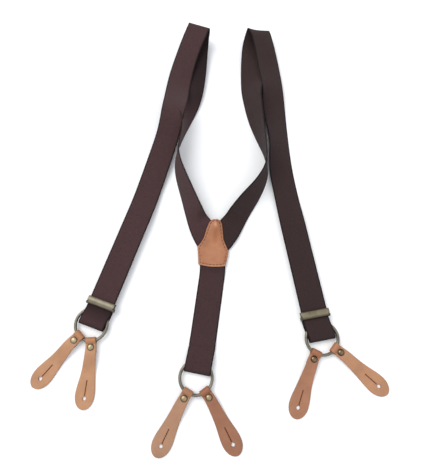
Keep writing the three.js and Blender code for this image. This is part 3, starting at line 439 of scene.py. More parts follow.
# ------------------------------------------------------------------ materials
class Nodes:
    def __init__(self, name):
        self.mat = bpy.data.materials.new(name)
        self.mat.use_nodes = True
        self.t = self.mat.node_tree
        self.bsdf = self.t.nodes["Principled BSDF"]

    def new(self, kind, **props):
        n = self.t.nodes.new(kind)
        for k, v in props.items():
            setattr(n, k, v)
        return n

    def link(self, a, b):
        self.t.links.new(a, b)

    def math(self, op, a, b=None, clamp=False):
        n = self.new("ShaderNodeMath", operation=op, use_clamp=clamp)
        for i, v in enumerate((a, b)):
            if v is None:
                continue
            if isinstance(v, (int, float)):
                n.inputs[i].default_value = v
            else:
                self.link(v, n.inputs[i])
        return n.outputs[0]

    def attr(self, name):
        return self.new("ShaderNodeAttribute", attribute_name=name).outputs["Fac"]

    def coords(self):
        return self.new("ShaderNodeTexCoord").outputs["Object"]

    def noise(self, scale, detail=2.0, rough=0.5, vec=None, dist=0.0):
        n = self.new("ShaderNodeTexNoise")
        n.inputs["Scale"].default_value = scale
        n.inputs["Detail"].default_value = detail
        n.inputs["Roughness"].default_value = rough
        n.inputs["Distortion"].default_value = dist
        self.link(vec if vec is not None else self.coords(), n.inputs["Vector"])
        return n.outputs["Fac"]

    def ramp(self, fac, stops):
        n = self.new("ShaderNodeValToRGB")
        e = n.color_ramp.elements
        while len(e) < len(stops):
            e.new(0.5)
        for el, (p, c) in zip(e, stops):
            el.position = p
            el.color = c if len(c) == 4 else (*c, 1)
        self.link(fac, n.inputs[0])
        return n.outputs[0]

    def mix(self, fac, a, b, blend="MIX"):
        n = self.new("ShaderNodeMix", data_type="RGBA", blend_type=blend)
        for sock, v in ((0, fac), (6, a), (7, b)):
            if isinstance(v, (int, float)):
                n.inputs[sock].default_value = v
            elif isinstance(v, tuple):
                n.inputs[sock].default_value = v if len(v) == 4 else (*v, 1)
            else:
                self.link(v, n.inputs[sock])
        return n.outputs[2]

    def bump(self, height, strength, distance, normal=None):
        n = self.new("ShaderNodeBump")
        n.inputs["Strength"].default_value = strength
        n.inputs["Distance"].default_value = distance
        self.link(height, n.inputs["Height"])
        if normal is not None:
            self.link(normal, n.inputs["Normal"])
        return n.outputs[0]

    def smooth(self, v, lo, hi):
        n = self.new("ShaderNodeMapRange", interpolation_type="SMOOTHSTEP")
        n.inputs["From Min"].default_value = lo
        n.inputs["From Max"].default_value = hi
        self.link(v, n.inputs["Value"])
        return n.outputs[0]


def lin(r, g, b):
    f = lambda c: (c / 255 / 12.92) if c / 255 <= 0.04045 else ((c / 255 + 0.055) / 1.055) ** 2.4
    return (f(r), f(g), f(b), 1.0)


def webbing_material(name, base, lift=1.0):
    """Ribbed elastic: weft ribs across, warp cords along, a tight selvedge on each edge."""
    m = Nodes(name)
    u, v = m.attr("u"), m.attr("v")
    av = m.math("ABSOLUTE", v)
    edge = m.smooth(av, 16.7, 17.7)                                     # selvedge
    warp = m.math("SINE", m.math("MULTIPLY", v, 2 * math.pi / 1.15))
    # neighbouring cords are half a rib out of step, which gives the herringbone look
    phase = m.math("MULTIPLY", m.math("SINE", m.math("MULTIPLY", v, 2 * math.pi / 2.3)), 1.25)
    weft = m.math("SINE", m.math("ADD", m.math("MULTIPLY", u, 2 * math.pi / 1.0), phase))
    h = m.math("ADD", m.math("MULTIPLY", weft, 0.55), m.math("MULTIPLY", warp, 0.45))
    selv = m.math("SINE", m.math("MULTIPLY", u, 2 * math.pi / 0.8))
    hh = m.math("ADD", m.math("MULTIPLY", h, m.math("SUBTRACT", 1.0, edge)), m.math("MULTIPLY", m.math("MULTIPLY", selv, 0.8), edge))
    fuzz = m.noise(2600, 2, 0.6)
    hh = m.math("ADD", hh, m.math("MULTIPLY", m.math("SUBTRACT", fuzz, 0.5), 0.9))
    b = tuple(c * lift for c in base[:3])
    dark = tuple(c * 0.66 for c in b)
    light = tuple(min(1, c * 1.26) for c in b)
    t = m.math("MULTIPLY_ADD", hh, 0.5)
    t.node.inputs[2].default_value = 0.5
    col = m.ramp(t, [(0.15, dark), (0.55, b), (0.95, light)])
    # slow shade changes along the strap, heather from the brown yarns, darker selvedge
    slow = m.noise(14, 3, 0.6)
    col = m.mix(m.math("MULTIPLY", m.smooth(slow, 0.35, 0.75), 0.22), col, tuple(c * 0.72 for c in b))
    yarn = m.noise(420, 3, 0.7)
    col = m.mix(m.math("MULTIPLY", m.smooth(yarn, 0.50, 0.72), 0.30), col, tuple(min(1, c * 1.75) for c in b))
    dull = m.noise(330, 2, 0.6, dist=0.4)
    col = m.mix(m.math("MULTIPLY", m.smooth(dull, 0.50, 0.70), 0.35), col, tuple(c * 0.55 for c in b))
    col = m.mix(m.math("MULTIPLY", edge, 0.86), col, tuple(c * 0.22 for c in b))
    # "tone" darkens webbing that lies in its own shade, by folds and under the hardware
    tone = m.attr("tone")
    col = m.mix(m.smooth(tone, 0.0, 1.0), col, tuple(c * 0.12 for c in b))
    m.link(col, m.bsdf.inputs["Base Color"])
    m.link(m.bump(hh, 0.55, 0.00022), m.bsdf.inputs["Normal"])
    m.bsdf.inputs["Roughness"].default_value = 0.9
    m.bsdf.inputs["Sheen Weight"].default_value = 0.05
    m.bsdf.inputs["Sheen Roughness"].default_value = 0.6
    m.bsdf.inputs["Specular IOR Level"].default_value = 0.12
    return m.mat


def leather_material(name, base, dark, light, rough=0.5, seed=0.0):
    """Smooth vegetable-tanned leather: pores, fine creases, cloudy colour, burnished cut edges."""
    m = Nodes(name)
    co = m.coords()
    shift = m.new("ShaderNodeVectorMath", operation="ADD")
    m.link(co, shift.inputs[0])
    shift.inputs[1].default_value = (seed, seed * 0.7, 0)
    co = shift.outputs[0]
    vor = m.new("ShaderNodeTexVoronoi", feature="DISTANCE_TO_EDGE")
    vor.inputs["Scale"].default_value = 1500
    m.link(co, vor.inputs["Vector"])
    pebble = m.smooth(vor.outputs["Distance"], 0.0, 0.22)
    pores = m.smooth(m.noise(3200, 2, 0.5, co), 0.62, 0.78)
    crease = m.noise(260, 5, 0.62, co, 0.6)
    h = m.math("ADD", m.math("MULTIPLY", pebble, 0.5), m.math("MULTIPLY", crease, 0.9))
    h = m.math("SUBTRACT", h, m.math("MULTIPLY", pores, 0.7))
    cloud = m.noise(38, 4, 0.6, co)
    col = m.ramp(cloud, [(0.3, dark), (0.5, base), (0.72, light)])
    fine = m.noise(600, 4, 0.65, co)
    col = m.mix(m.math("MULTIPLY", m.smooth(fine, 0.45, 0.75), 0.35), col, tuple(c * 0.84 for c in base[:3]))
    col = m.mix(m.math("MULTIPLY", pores, 0.35), col, tuple(c * 0.6 for c in dark[:3]))
    # "edge" is how near a cut edge a point is: 1 on the edge, 0 a millimetre in
    e = m.attr("edge")
    col = m.mix(m.math("MULTIPLY", m.smooth(e, 0.25, 1.0), 0.72), col, tuple(c * k for c, k in zip(dark[:3], (0.58, 0.5, 0.44))))
    # painted shade in folds, dips and grooves, such as a folded nose or the dip beside a seam
    s = m.attr("shade")
    col = m.mix(m.math("MULTIPLY", s, 0.6), col, tuple(c * k for c, k in zip(base[:3], (0.80, 0.60, 0.42))))
    # the 'pale' attribute makes places paler: a painted highlight on a raised ridge, and plainly paler areas such as
    # an edge band
    col = m.mix(m.math("MULTIPLY", m.attr("pale"), 0.75), col, tuple(min(1, c * k) for c, k in zip(light[:3], (1.28, 1.36, 1.5))))
    m.link(col, m.bsdf.inputs["Base Color"])
    m.link(m.bump(h, 0.32, 0.00012), m.bsdf.inputs["Normal"])
    r = m.math("ADD", rough, m.math("MULTIPLY", m.math("SUBTRACT", crease, 0.5), 0.25))
    m.link(r, m.bsdf.inputs["Roughness"])
    m.bsdf.inputs["Specular IOR Level"].default_value = 0.4
    return m.mat


def brass_material(name, base, dark, rough=0.34, patina=0.5):
    """Antique brass plate: brushed, dark in the recesses and where a finger never rubs."""
    m = Nodes(name)
    co = m.coords()
    stretch = m.new("ShaderNodeMapping")
    stretch.inputs["Scale"].default_value = (1, 1, 1)
    m.link(co, stretch.inputs["Vector"])
    brush = m.noise(1800, 3, 0.6, stretch.outputs[0], 0.3)
    blot = m.noise(110, 4, 0.55, co)
    spots = m.smooth(m.noise(900, 2, 0.5, co), 0.62, 0.74)
    col = m.ramp(blot, [(0.32, dark), (0.52, base), (0.75, tuple(min(1, c * 1.18) for c in base[:3]))])
    col = m.mix(m.math("MULTIPLY", spots, 0.22), col, tuple(c * 0.55 for c in dark[:3]))
    geo = m.new("ShaderNodeNewGeometry")
    rub = m.smooth(geo.outputs["Pointiness"], 0.50, 0.56)
    col = m.mix(m.math("MULTIPLY", rub, 0.5), col, tuple(min(1, c * 1.35) for c in base[:3]))
    e = m.attr("recess")
    col = m.mix(m.math("MULTIPLY", e, patina), col, tuple(c * 0.32 for c in dark[:3]))
    m.link(col, m.bsdf.inputs["Base Color"])
    m.bsdf.inputs["Metallic"].default_value = 1.0
    r = m.math("ADD", rough, m.math("MULTIPLY", m.math("SUBTRACT", blot, 0.45), 0.25))
    m.link(r, m.bsdf.inputs["Roughness"])
    m.link(m.bump(brush, 0.18, 0.00006), m.bsdf.inputs["Normal"])
    return m.mat


def thread_material(name, base):
    """Waxed twisted sewing thread."""
    m = Nodes(name)
    u, v = m.attr("u"), m.attr("v")
    ply = m.math("SINE", m.math("ADD", m.math("MULTIPLY", u, 2 * math.pi / 0.7), m.math("MULTIPLY", v, 1.0)))
    t = m.math("MULTIPLY_ADD", ply, 0.5)
    t.node.inputs[2].default_value = 0.5
    col = m.ramp(t, [(0.0, tuple(c * 0.6 for c in base[:3])), (0.7, base[:3])])
    n = m.noise(900, 3, 0.6)
    col = m.mix(m.math("MULTIPLY", n, 0.25), col, tuple(c * 0.7 for c in base[:3]))
    m.link(col, m.bsdf.inputs["Base Color"])
    m.link(m.bump(ply, 0.4, 0.00008), m.bsdf.inputs["Normal"])
    m.bsdf.inputs["Roughness"].default_value = 0.6
    return m.mat


# painted light and painted shade: the three webbing materials are copies of one brown webbing, lighter on the left
# strap and darker on the right, to match how the light falls on each
WEBBING = {"left": webbing_material("webbing_brown_left", lin(69, 48, 49)),
           "right": webbing_material("webbing_brown_right", lin(53, 38, 38)),
           "back": webbing_material("webbing_brown_back", lin(64, 45, 46))}
LEATHER_PATCH = leather_material("leather_patch", lin(158, 103, 69), lin(143, 87, 54), lin(173, 118, 84), 0.40, 0.3)
LEATHER_UNDER = leather_material("leather_flesh_side", lin(176, 128, 98), lin(150, 104, 78), lin(190, 146, 114), 0.75, 0.9)
# painted shade: the two plates are copies of one antique brass, with the right one's colour slightly darker to match
# how the light falls on it
BRASS_ADJ = {"left": brass_material("antique_brass_plate_left", lin(132, 124, 108), lin(112, 104, 90), 0.44, 0.85),
             "right": brass_material("antique_brass_plate_right", lin(130, 120, 100), lin(112, 103, 84), 0.33, 0.9)}
BRASS_BODY = brass_material("antique_brass_frame", lin(96, 90, 78), lin(66, 60, 50), 0.45, 0.7)
BRASS_RING = brass_material("antique_brass_ring", lin(118, 112, 100), lin(84, 79, 68), 0.40, 0.6)
# painted light and painted shade: the three rivet materials are copies of one antique brass, paler on the left tabs,
# darker on the right tabs, the back ones between
BRASS_CAP = {"left": brass_material("antique_brass_rivet_left", lin(176, 160, 130), lin(128, 112, 86), 0.42, 0.92),
             "back": brass_material("antique_brass_rivet_back", lin(158, 138, 108), lin(104, 88, 66), 0.40, 0.92),
             "right": brass_material("antique_brass_rivet_right", lin(122, 102, 82), lin(80, 66, 52), 0.26, 0.94)}
THREAD = thread_material("thread_brown", lin(84, 50, 36))
TAB_MATS = {}
for i, (n, c) in enumerate({"left_outer": (172, 126, 92), "left_inner": (172, 126, 92), "back_left": (158, 118, 91),
                            "back_right": (143, 95, 69), "right_inner": (153, 105, 77), "right_outer": (167, 120, 88)}.items()):
    d = tuple(x * 0.93 for x in c)
    l = tuple(min(255, x * 1.06) for x in c)
    TAB_MATS[n] = leather_material("leather_tab_" + n, lin(*c), lin(*d), lin(*l), 0.5, 0.13 * (i + 1))


# ------------------------------------------------------------------ mesh helpers
def piece(name, verts, faces, material, body=None, attrs=None, slot=None, replaces=(), smooth=True, weld=0.0):
    """verts are plan millimetres."""
    me = bpy.data.meshes.new(name)
    me.from_pydata([tuple(p) for p in mm(verts)], [], [tuple(int(i) for i in f) for f in faces])
    for k, vals in (attrs or {}).items():
        a = me.attributes.new(k, "FLOAT", "POINT")
        a.data.foreach_set("value", np.asarray(vals, dtype=np.float32))
    if weld:
        bm = bmesh.new(); bm.from_mesh(me)
        bmesh.ops.remove_doubles(bm, verts=bm.verts, dist=weld)
        bm.to_mesh(me); bm.free()
    bm = bmesh.new(); bm.from_mesh(me)
    bmesh.ops.recalc_face_normals(bm, faces=bm.faces)
    bm.to_mesh(me); bm.free()
    if smooth:
        me.polygons.foreach_set("use_smooth", [True] * len(me.polygons))
    me.update()
    ob = bpy.data.objects.new(name, me)
    bpy.context.scene.collection.objects.link(ob)
    me.materials.append(material)
    if slot:
        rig.slot(ob, slot)
    if body:
        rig.ride(ob, body)
    if replaces:
        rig.replaces(ob, *replaces)
    return ob


def unit(v):
    n = np.linalg.norm(v, axis=-1, keepdims=True)
    return v / np.maximum(n, 1e-12)


def spline(A, n_per):
    """Catmull-Rom through the rows of A, n_per steps between rows. Also returns the row parameter."""
    A = np.asarray(A, float)
    ext = np.vstack([2 * A[0] - A[1], A, 2 * A[-1] - A[-2]])
    out, par = [], []
    for i in range(len(A) - 1):
        p0, p1, p2, p3 = ext[i], ext[i + 1], ext[i + 2], ext[i + 3]
        for k in range(n_per):
            t = k / n_per
            out.append(0.5 * (2 * p1 + (p2 - p0) * t + (2 * p0 - 5 * p1 + 4 * p2 - p3) * t * t + (3 * p1 - p0 - 3 * p2 + p3) * t ** 3))
            par.append(i + t)
    out.append(A[-1]); par.append(len(A) - 1)
    return np.array(out), np.array(par)


# Cross-section of webbing, as (position across -1..1, height -1..1): flat faces,
# softly rounded woven edges, going once round.
def web_section(n=16, half=WEB_W / 2, edge=0.75):
    inner = 1 - edge / half
    top = [(c, 1.0) for c in np.linspace(-inner, inner, n)]
    right = [(inner + (1 - inner) * math.sin(a), math.cos(a)) for a in (math.radians(35), math.radians(70), math.radians(110), math.radians(145))]
    bot = [(c, -1.0) for c in np.linspace(inner, -inner, n)]
    left = [(-inner - (1 - inner) * math.sin(a), -math.cos(a)) for a in (math.radians(35), math.radians(70), math.radians(110), math.radians(145))]
    return top + right + bot + left


def tube_faces(rows, ring, closed=False):
    """Quads between consecutive rings of `ring` points, with end caps."""
    f = []
    for i in range(rows - 1):
        for k in range(ring):
            l = (k + 1) % ring
            f.append((i * ring + k, i * ring + l, (i + 1) * ring + l, (i + 1) * ring + k))
    if not closed:
        f.append(tuple(reversed(range(ring))))
        f.append(tuple((rows - 1) * ring + k for k in range(ring)))
    return f


def ribbon(name, C, Wv, N, U, body, replaces=(), material=None, slot="webbing", span=None, height=None, thick=WEB_T, tone=None):
    """Webbing from centre points C, unit across vectors Wv, unit normals N and lengths U.
    span gives the part of the width kept in each row as (lo, hi) in -1..1."""
    sec = web_section()
    verts, u, v, sh = [], [], [], []
    for i in range(len(C)):
        lo, hi = (-1.0, 1.0) if span is None else span[i]
        for c, h in sec:
            cc = min(max(c, lo), hi)
            p = C[i] + Wv[i] * (cc * WEB_W / 2) + N[i] * (h * thick / 2)
            if height is not None:
                p = height(i, cc, h, p)
            verts.append(p)
            u.append(U[i]); v.append(cc * WEB_W / 2); sh.append(0.0 if tone is None else tone[i])
    return piece(name, np.array(verts), tube_faces(len(C), len(sec)), material, body, {"u": u, "v": v, "tone": sh}, slot, replaces)


def frames_of(P, Q):
    C = (P + Q) / 2
    Wv = unit(Q - P)
    T = unit(np.gradient(C, axis=0))
    N = unit(np.cross(T, Wv))
    U = np.r_[0, np.cumsum(np.linalg.norm(np.diff(C, axis=0), axis=1))]
    return C, Wv, N, U


# ------------------------------------------------------------------ crosspatch surface
SEAM = (3.6, -48.0, 8.2, 23.0)


def seam_x(y):
    return SEAM[0] + (SEAM[2] - SEAM[0]) * (y - SEAM[1]) / (SEAM[3] - SEAM[1])


def sstep(u):
    u = np.clip(u, 0, 1)
    return u * u * (3 - 2 * u)


def tent(x, y, side=0):
    d = x - seam_x(y)
    r = np.maximum(0, 1 - (np.abs(d) if side == 0 else side * d) / 40.0)
    return 9.5 * sstep((y + 27) / 50) * r


def patch_distance(x, y):
    inside, best = False, 1e9
    n = len(PATCH)
    for i in range(n):
        xi, yi = PATCH[i]; xj, yj = PATCH[i - 1]
        if (yi > y) != (yj > y) and x < (xj - xi) * (y - yi) / (yj - yi) + xi:
            inside = not inside
        dx, dy = xj - xi, yj - yi
        t = min(1, max(0, ((x - xi) * dx + (y - yi) * dy) / (dx * dx + dy * dy)))
        best = min(best, math.hypot(x - xi - t * dx, y - yi - t * dy))
    return (0.0 if inside else best), best


# ------------------------------------------------------------------ shoulder straps
SPLIT = 140.0     # where the run that feeds through the adjuster ends
# how deep in its own shade the webbing is, by length along the strap from the adjuster
SHADE = {"left": ([0, 2, 7, 478, 494, 502, 560, 625, 668, 2000], [0.75, 0.4, 0, 0, 0.06, 0.74, 0.74, 0.62, 0, 0]),
         "right": ([0, 2, 7, 480, 500, 530, 620, 700, 2000], [0.75, 0.4, 0, 0, 0.06, 0.06, 0.0, 0.05, 0.05])}
for side, sg in (("left", -1), ("right", 1)):
    A = np.array(STRAPS[side])
    fine, par = spline(A, 5)
    P, Q = fine[:, :3], fine[:, 3:]
    C, Wv, N, U = frames_of(P, Q)
    # Normals point up on the front run; they turn over at the fold and through the twist.
    if N[0][2] < 0:
        N = -N
    half = np.linalg.norm(Q - P, axis=1) / 2
    Wm = Wv * (half / (WEB_W / 2))[:, None]
    spans, keep = [], []
    for i in range(len(C)):
        lo, hi = -1.0, 1.0
        if i > len(C) - 75:
            for c in np.linspace(-1, 1, 41):
                pass
            cs = np.linspace(-1, 1, 81)
            pts = C[i] + np.outer(cs * WEB_W / 2, Wm[i])
            ok = (sg * (pts[:, 0] - seam_x(pts[:, 1])) > 0.3) & (pts[:, 1] > -23.4)
            if not ok.any():
                break
            lo, hi = cs[ok].min(), cs[ok].max()
        if hi - lo < 0.12:
            break
        spans.append((lo, hi)); keep.append(i)
    k = len(keep)
    C, Wm, N, U = C[:k], Wm[:k], N[:k], U[:k]
    near = k - 75

    def settle(i, cc, h, p, side=side, near=near, C=C, Wm=Wm, sg=sg, off=0):
        i = i + off
        if i < near:
            return p
        mid = C[i] + Wm[i] * (cc * WEB_W / 2)
        d, _ = patch_distance(mid[0], mid[1])
        w = 1 - sstep((d - 7) / 16)
        if w <= 0:
            return p
        flat = np.array([mid[0], mid[1], PATCH_WEB_Z + tent(mid[0], mid[1], sg)])
        up = -h if N_sign[side] < 0 else h
        flat[2] += up * WEB_T / 2
        return p * (1 - w) + flat * w
    # which face is up when the strap reaches the patch
    if side == "left":
        N_sign = {}
    N_sign[side] = 1 if N[k - 1][2] > 0 else -1
    tone = np.interp(U, *SHADE[side])
    cut = int(np.argmin(np.abs(U - SPLIT)))
    lo_ = ribbon("webbing_front_" + side, C[:cut + 1], Wm[:cut + 1], N[:cut + 1], U[:cut + 1], None, (), WEBBING[side], tone=tone[:cut + 1])
    hi_ = ribbon("webbing_shoulder_" + side, C[cut:], Wm[cut:], N[cut:], U[cut:], "webbing", ("shoulder_strap_" + side,), WEBBING[side], tone=tone[cut:],
                 span=spans[cut:], height=lambda i, cc, h, p, f=settle, o=cut: f(i, cc, h, p, off=o))
    a, e = np.array(ADJ[side][0]), np.array(ADJ[side][1])
    s0 = mm(np.array([*(a + e * (SPLIT - 6)), 9.2])); s1 = mm(np.array([*(a + e * 7), 9.2]))
    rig.replaces(lo_, "shoulder_strap_" + side)
    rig.blend(lo_, "webbing", "adjuster_" + side, start=tuple(s0), end=tuple(s1))
    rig.sheet(lo_, flat=(WEB_W / 1000, float(U[cut] - U[0]) / 1000), held="laid")
    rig.sheet(hi_, flat=(WEB_W / 1000, float(U[-1] - U[cut]) / 1000), held="folded")
    FLAT = globals().setdefault("FLAT", {})
    FLAT["shoulder_" + side] = float(U[-1])

# ------------------------------------------------------------------ back strap
line = np.array(BACK_LINE, float)
d2, s2 = np.array([-0.1908, -0.9816, 0]), np.array([0.9816, -0.1908, 0])
fine, _ = spline(line, 4)
path = [p for p in fine]
T = unit(np.gradient(np.array(path)[:, :2], axis=0))
side_v = [np.array([-t[1], t[0], 0]) for t in T]
side_v = [w if w[0] > 0 else -w for w in side_v]
end = line[-1]
tail = [(3.6 * math.sin(a), 5.6 + 3.6 * math.cos(a)) for a in np.linspace(0.16, math.pi, 15)]
tail += [(-2, 1.9), (-4, 1.7), (-7, 1.4), (-10, 1.1), (-14, 0.8), (-20, 0.8), (-28, 0.8), (-35, 0.8)]
for a_, z in tail:
    p = end + d2 * a_
    path.append(np.array([p[0], p[1], z])); side_v.append(s2)
C = np.array(path); Wv = unit(np.array(side_v))
Tg = unit(np.gradient(C, axis=0)); N = unit(np.cross(Wv, Tg))
if N[5][2] < 0:
    N = -N
U = np.r_[0, np.cumsum(np.linalg.norm(np.diff(C, axis=0), axis=1))]
rb = np.array([*RINGS["back"], 0])


def over_wire(i, cc, h, p, C=C):
    # the top layer rides up a little where the ring's wire passes under it
    if p[2] > 7.5 and C[i][2] > 8.9:
        r = math.hypot(p[0] - rb[0], p[1] - rb[1])
        p = p + np.array([0, 0, 0.75 * math.exp(-((r - RING_R) / 2.6) ** 2) * (1 if p[1] > rb[1] + 6 else 0)])
    return p


end_u = float(U[len(fine) - 1])
# painted shade on the back strap: darker for about 30 mm out from under the crosspatch, and round the fold at the back
# ring onto the tail beneath
bs = ribbon("webbing_back", C, Wv, N, U, "webbing", ("back_strap",), WEBBING["back"], height=over_wire,
            tone=np.interp(U, [0, 28, 31, 36, end_u - 30, end_u - 10, end_u - 1, end_u + 2.5, end_u + 4], [0.2, 0.25, 0.12, 0, 0.0, 0.06, 0.02, 0.45, 0.75]))
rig.sheet(bs, flat=(WEB_W / 1000, float(U[-1]) / 1000), held="folded")
FLAT["back"] = float(U[-1])

# ------------------------------------------------------------------ strap loops through the rings
LOOPS = {"left": (-32.4, -2.1), "right": (-34.3, 3.1)}
for side, (fold, shift) in LOOPS.items():
    r, zc = 3.3, 5.9
    pts = [(-0.2, 9.2), (-2, 9.2), (-4, 9.2), (-8, 9.2), (-12, 9.2), (-16, 9.2), (-20, 9.2), (-24, 9.2), (fold + 5, 9.2), (fold + 2.5, 9.2)]
    pts += [(fold - r * math.sin(a), zc + r * math.cos(a)) for a in np.linspace(0, math.pi, 17)]
    pts += [(fold + 3, 2.6), (fold + 6, 2.6), (-24, 2.6), (-20, 2.6), (-16, 2.6), (-12, 2.62), (-9.4, 2.8), (-7.4, 3.3), (-5.6, 4.0)]
    rb_ = BAR_R + 0.25 + WEB_T / 2
    pts += [(BAR_E + rb_ * math.cos(f), BAR_Z + 0.02 + rb_ * math.sin(f)) for f in np.linspace(math.pi / 2 + 0.25, -math.pi / 2, 14)]
    pts += [(-5, 0.8), (-7, 0.8), (-10, 0.8), (-14, 0.8), (-18, 0.8), (-21, 0.8)]
    pts = np.array(pts)
    a, e = np.array(ADJ[side][0]), np.array(ADJ[side][1])
    e3 = np.array([*e, 0]); n3 = np.array([e[1], -e[0], 0])
    sh = shift * sstep((-8 - pts[:, 0]) / (-8 - fold))
    C = np.array([a[0], a[1], 0]) + pts[:, :1] * e3 + sh[:, None] * n3 + pts[:, 1:] * np.array([0, 0, 1])
    Wv = np.tile(n3, (len(C), 1))
    Tg = unit(np.gradient(C, axis=0)); N = unit(np.cross(Wv, Tg))
    if N[3][2] < 0:
        N = -N
    Wv = unit(np.cross(Tg, N)); Wv *= np.sign((Wv * n3).sum(1))[:, None]
    U = -np.r_[0, np.cumsum(np.linalg.norm(np.diff(C, axis=0), axis=1))]
    fu = float(-U[9]) + 2.0
    # painted shade on the loops: darker next to the adjuster and from the fold at the ring onto the under layer; the
    # left loop's top is shaded along its length, least just before the fold
    tones = {"left": ([0, 6, 9, 14, 22, fu - 4, fu, fu + 3.4, fu + 5], [0.7, 0.66, 0.58, 0.50, 0.38, 0.20, 0.24, 0.62, 0.8]),
             "right": ([0, 5, 8, 14, 22, fu - 4, fu, fu + 3.4, fu + 5], [0.6, 0.5, 0.10, 0.04, 0.02, 0.0, 0.05, 0.5, 0.8])}[side]
    lp = ribbon("webbing_loop_" + side, C, Wv, N, U, None, ("strap_loop_" + side,), WEBBING[side], tone=np.interp(-U, *tones))
    s0 = mm(np.array([*(a + e * -8), 5])); s1 = mm(np.array([*(a + e * -24), 5]))
    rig.blend(lp, "adjuster_" + side, "clip_" + side, start=tuple(s0), end=tuple(s1))
    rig.sheet(lp, flat=(WEB_W / 1000, float(-U[-1]) / 1000), held="folded")
    FLAT["loop_" + side] = float(-U[-1])


# ------------------------------------------------------------------ crosspatch leather
def patch_rows():
    ys = np.unique(np.r_[np.linspace(-48.55, -46.5, 9), np.linspace(-46.5, -42.5, 7), np.linspace(-42.5, 16, 48), np.linspace(16, 22.75, 14)])
    rows = []
    for y in ys:
        xs = []
        for i in range(len(PATCH)):
            xi, yi = PATCH[i]; xj, yj = PATCH[i - 1]
            if (yi > y) != (yj > y):
                xs.append((xj - xi) * (y - yi) / (yj - yi) + xi)
        if len(xs) >= 2:
            rows.append((y, min(xs), max(xs)))
    return rows


def patch_relief(x, y, inset):
    """Height added to the top of the front leather."""
    z = 0.0
    # the two strap ends and their fold make a bump under the tip, with a dip below it
    z += 1.7 * math.exp(-(((x - 7.6) / 4.4) ** 2 + ((y - 12.0) / 6.0) ** 2))
    z -= 1.1 * math.exp(-(((x - 6.6) / 3.8) ** 2 + ((y + 5.5) / 8.0) ** 2))
    # leather drawn down along the seam line
    if inset < 6:
        z -= 0.45 * math.exp(-((inset - 2.9) / 0.75) ** 2)
        z -= 0.55 * sstep((1.5 - inset) / 1.5)
    return z


def patch_piece(name, z_top, z_bot, material, node, top_side):
    rows = patch_rows()
    cols = np.r_[0, 0.008, 0.02, 0.045, 0.08, np.linspace(0.12, 0.88, 33), 0.92, 0.955, 0.98, 0.992, 1]
    nC = len(cols)
    top, bot, ed, shd, pal = [], [], [], [], []
    for y, l, r in rows:
        for c in cols:
            x = l + (r - l) * c
            _, inset = patch_distance(x, y)
            inset = min(inset, 20)
            t = tent(x, y)
            rel = patch_relief(x, y, inset) if top_side else -0.12 * math.exp(-((inset - 2.9) / 0.7) ** 2) * 0
            round_ = 0.45 * (1 - min(1, inset / 0.55)) ** 2
            top.append((x, y, z_top + t + rel - round_))
            bot.append((x, y, max(0.0, z_bot + t + (round_ * 0.5 if not top_side else 0))))
            low = float(sstep((-44.0 - y) / 1.5))
            ed.append(max(0.0, 1 - inset / 1.1) * (1 - 0.75 * low))
            # painted shade in the hollow below the tip bump and in the groove along the seam line
            g = 1.0 * math.exp(-(((x - 6.6) / 3.6) ** 2 + ((y + 4.0) / 10.0) ** 2)) if top_side else 0
            g += 0.75 * math.exp(-((inset - 2.9) / 0.7) ** 2)
            shd.append(min(1, g))
            # painted highlight on the bump under the tip; also a faint paler area low on the patch and a paler band
            # along its bottom edge
            pl = 1.0 * math.exp(-(((x - 7.2) / 2.9) ** 2 + ((y - 14.0) / 4.0) ** 2)) + 0.22 * math.exp(-(((x - 1) / 12) ** 2 + ((y + 33) / 9) ** 2))
            pl += 0.55 * low * float(sstep((2.3 - inset) / 0.6))
            pal.append(min(1, pl) if top_side else 0)
    R = len(rows); n = R * nC
    verts = np.array(top + bot)
    f = []
    for i in range(R - 1):
        for j in range(nC - 1):
            a = i * nC + j
            f.append((a, a + 1, a + nC + 1, a + nC))
            f.append((n + a, n + a + nC, n + a + nC + 1, n + a + 1))
        a = i * nC
        f.append((a, a + nC, n + a + nC, n + a))
        b = i * nC + nC - 1
        f.append((b + nC, b, n + b, n + b + nC))
    for j in range(nC - 1):
        f.append((j + 1, j, n + j, n + j + 1))
        a = (R - 1) * nC + j
        f.append((a, a + 1, n + a + 1, n + a))
    return piece(name, verts, f, material, "webbing", {"edge": ed + ed, "shade": shd + [0.0] * n, "pale": pal + [0.0] * n}, "patch_leather", (node,))


patch_piece("patch_leather_front", 6.2, 4.05, LEATHER_PATCH, "crosspatch_front", True)
patch_piece("patch_leather_back", 1.75, 0.0, LEATHER_UNDER, "crosspatch_back", False)


def inset_outline(d):
    """The patch outline moved in by d, as an even chain of points."""
    P = np.array(PATCH)
    n = len(P)
    # round the corners a little before insetting
    Q = []
    for i in range(n):
        a, b, c = P[i - 1], P[i], P[(i + 1) % n]
        Q += [b + (a - b) * 0.18, b * 0.76 + (a + c) * 0.12, b + (c - b) * 0.18]
    Q = np.array(Q)
    area = 0.5 * np.sum(Q[:, 0] * np.roll(Q[:, 1], -1) - np.roll(Q[:, 0], -1) * Q[:, 1])
    T = unit(np.roll(Q, -1, 0) - np.roll(Q, 1, 0))
    inn = np.stack([-T[:, 1], T[:, 0]], 1) * (1 if area > 0 else -1)
    R = Q + inn * d
    R = R[[patch_distance(*p)[1] > d - 0.35 and patch_distance(*p)[0] == 0 for p in R]]
    R = np.vstack([R, R[:1]])
    s = np.r_[0, np.cumsum(np.linalg.norm(np.diff(R, axis=0), axis=1))]
    m_ = np.arange(0, s[-1], 0.25)
    return np.stack([np.interp(m_, s, R[:, k]) for k in (0, 1)], 1)


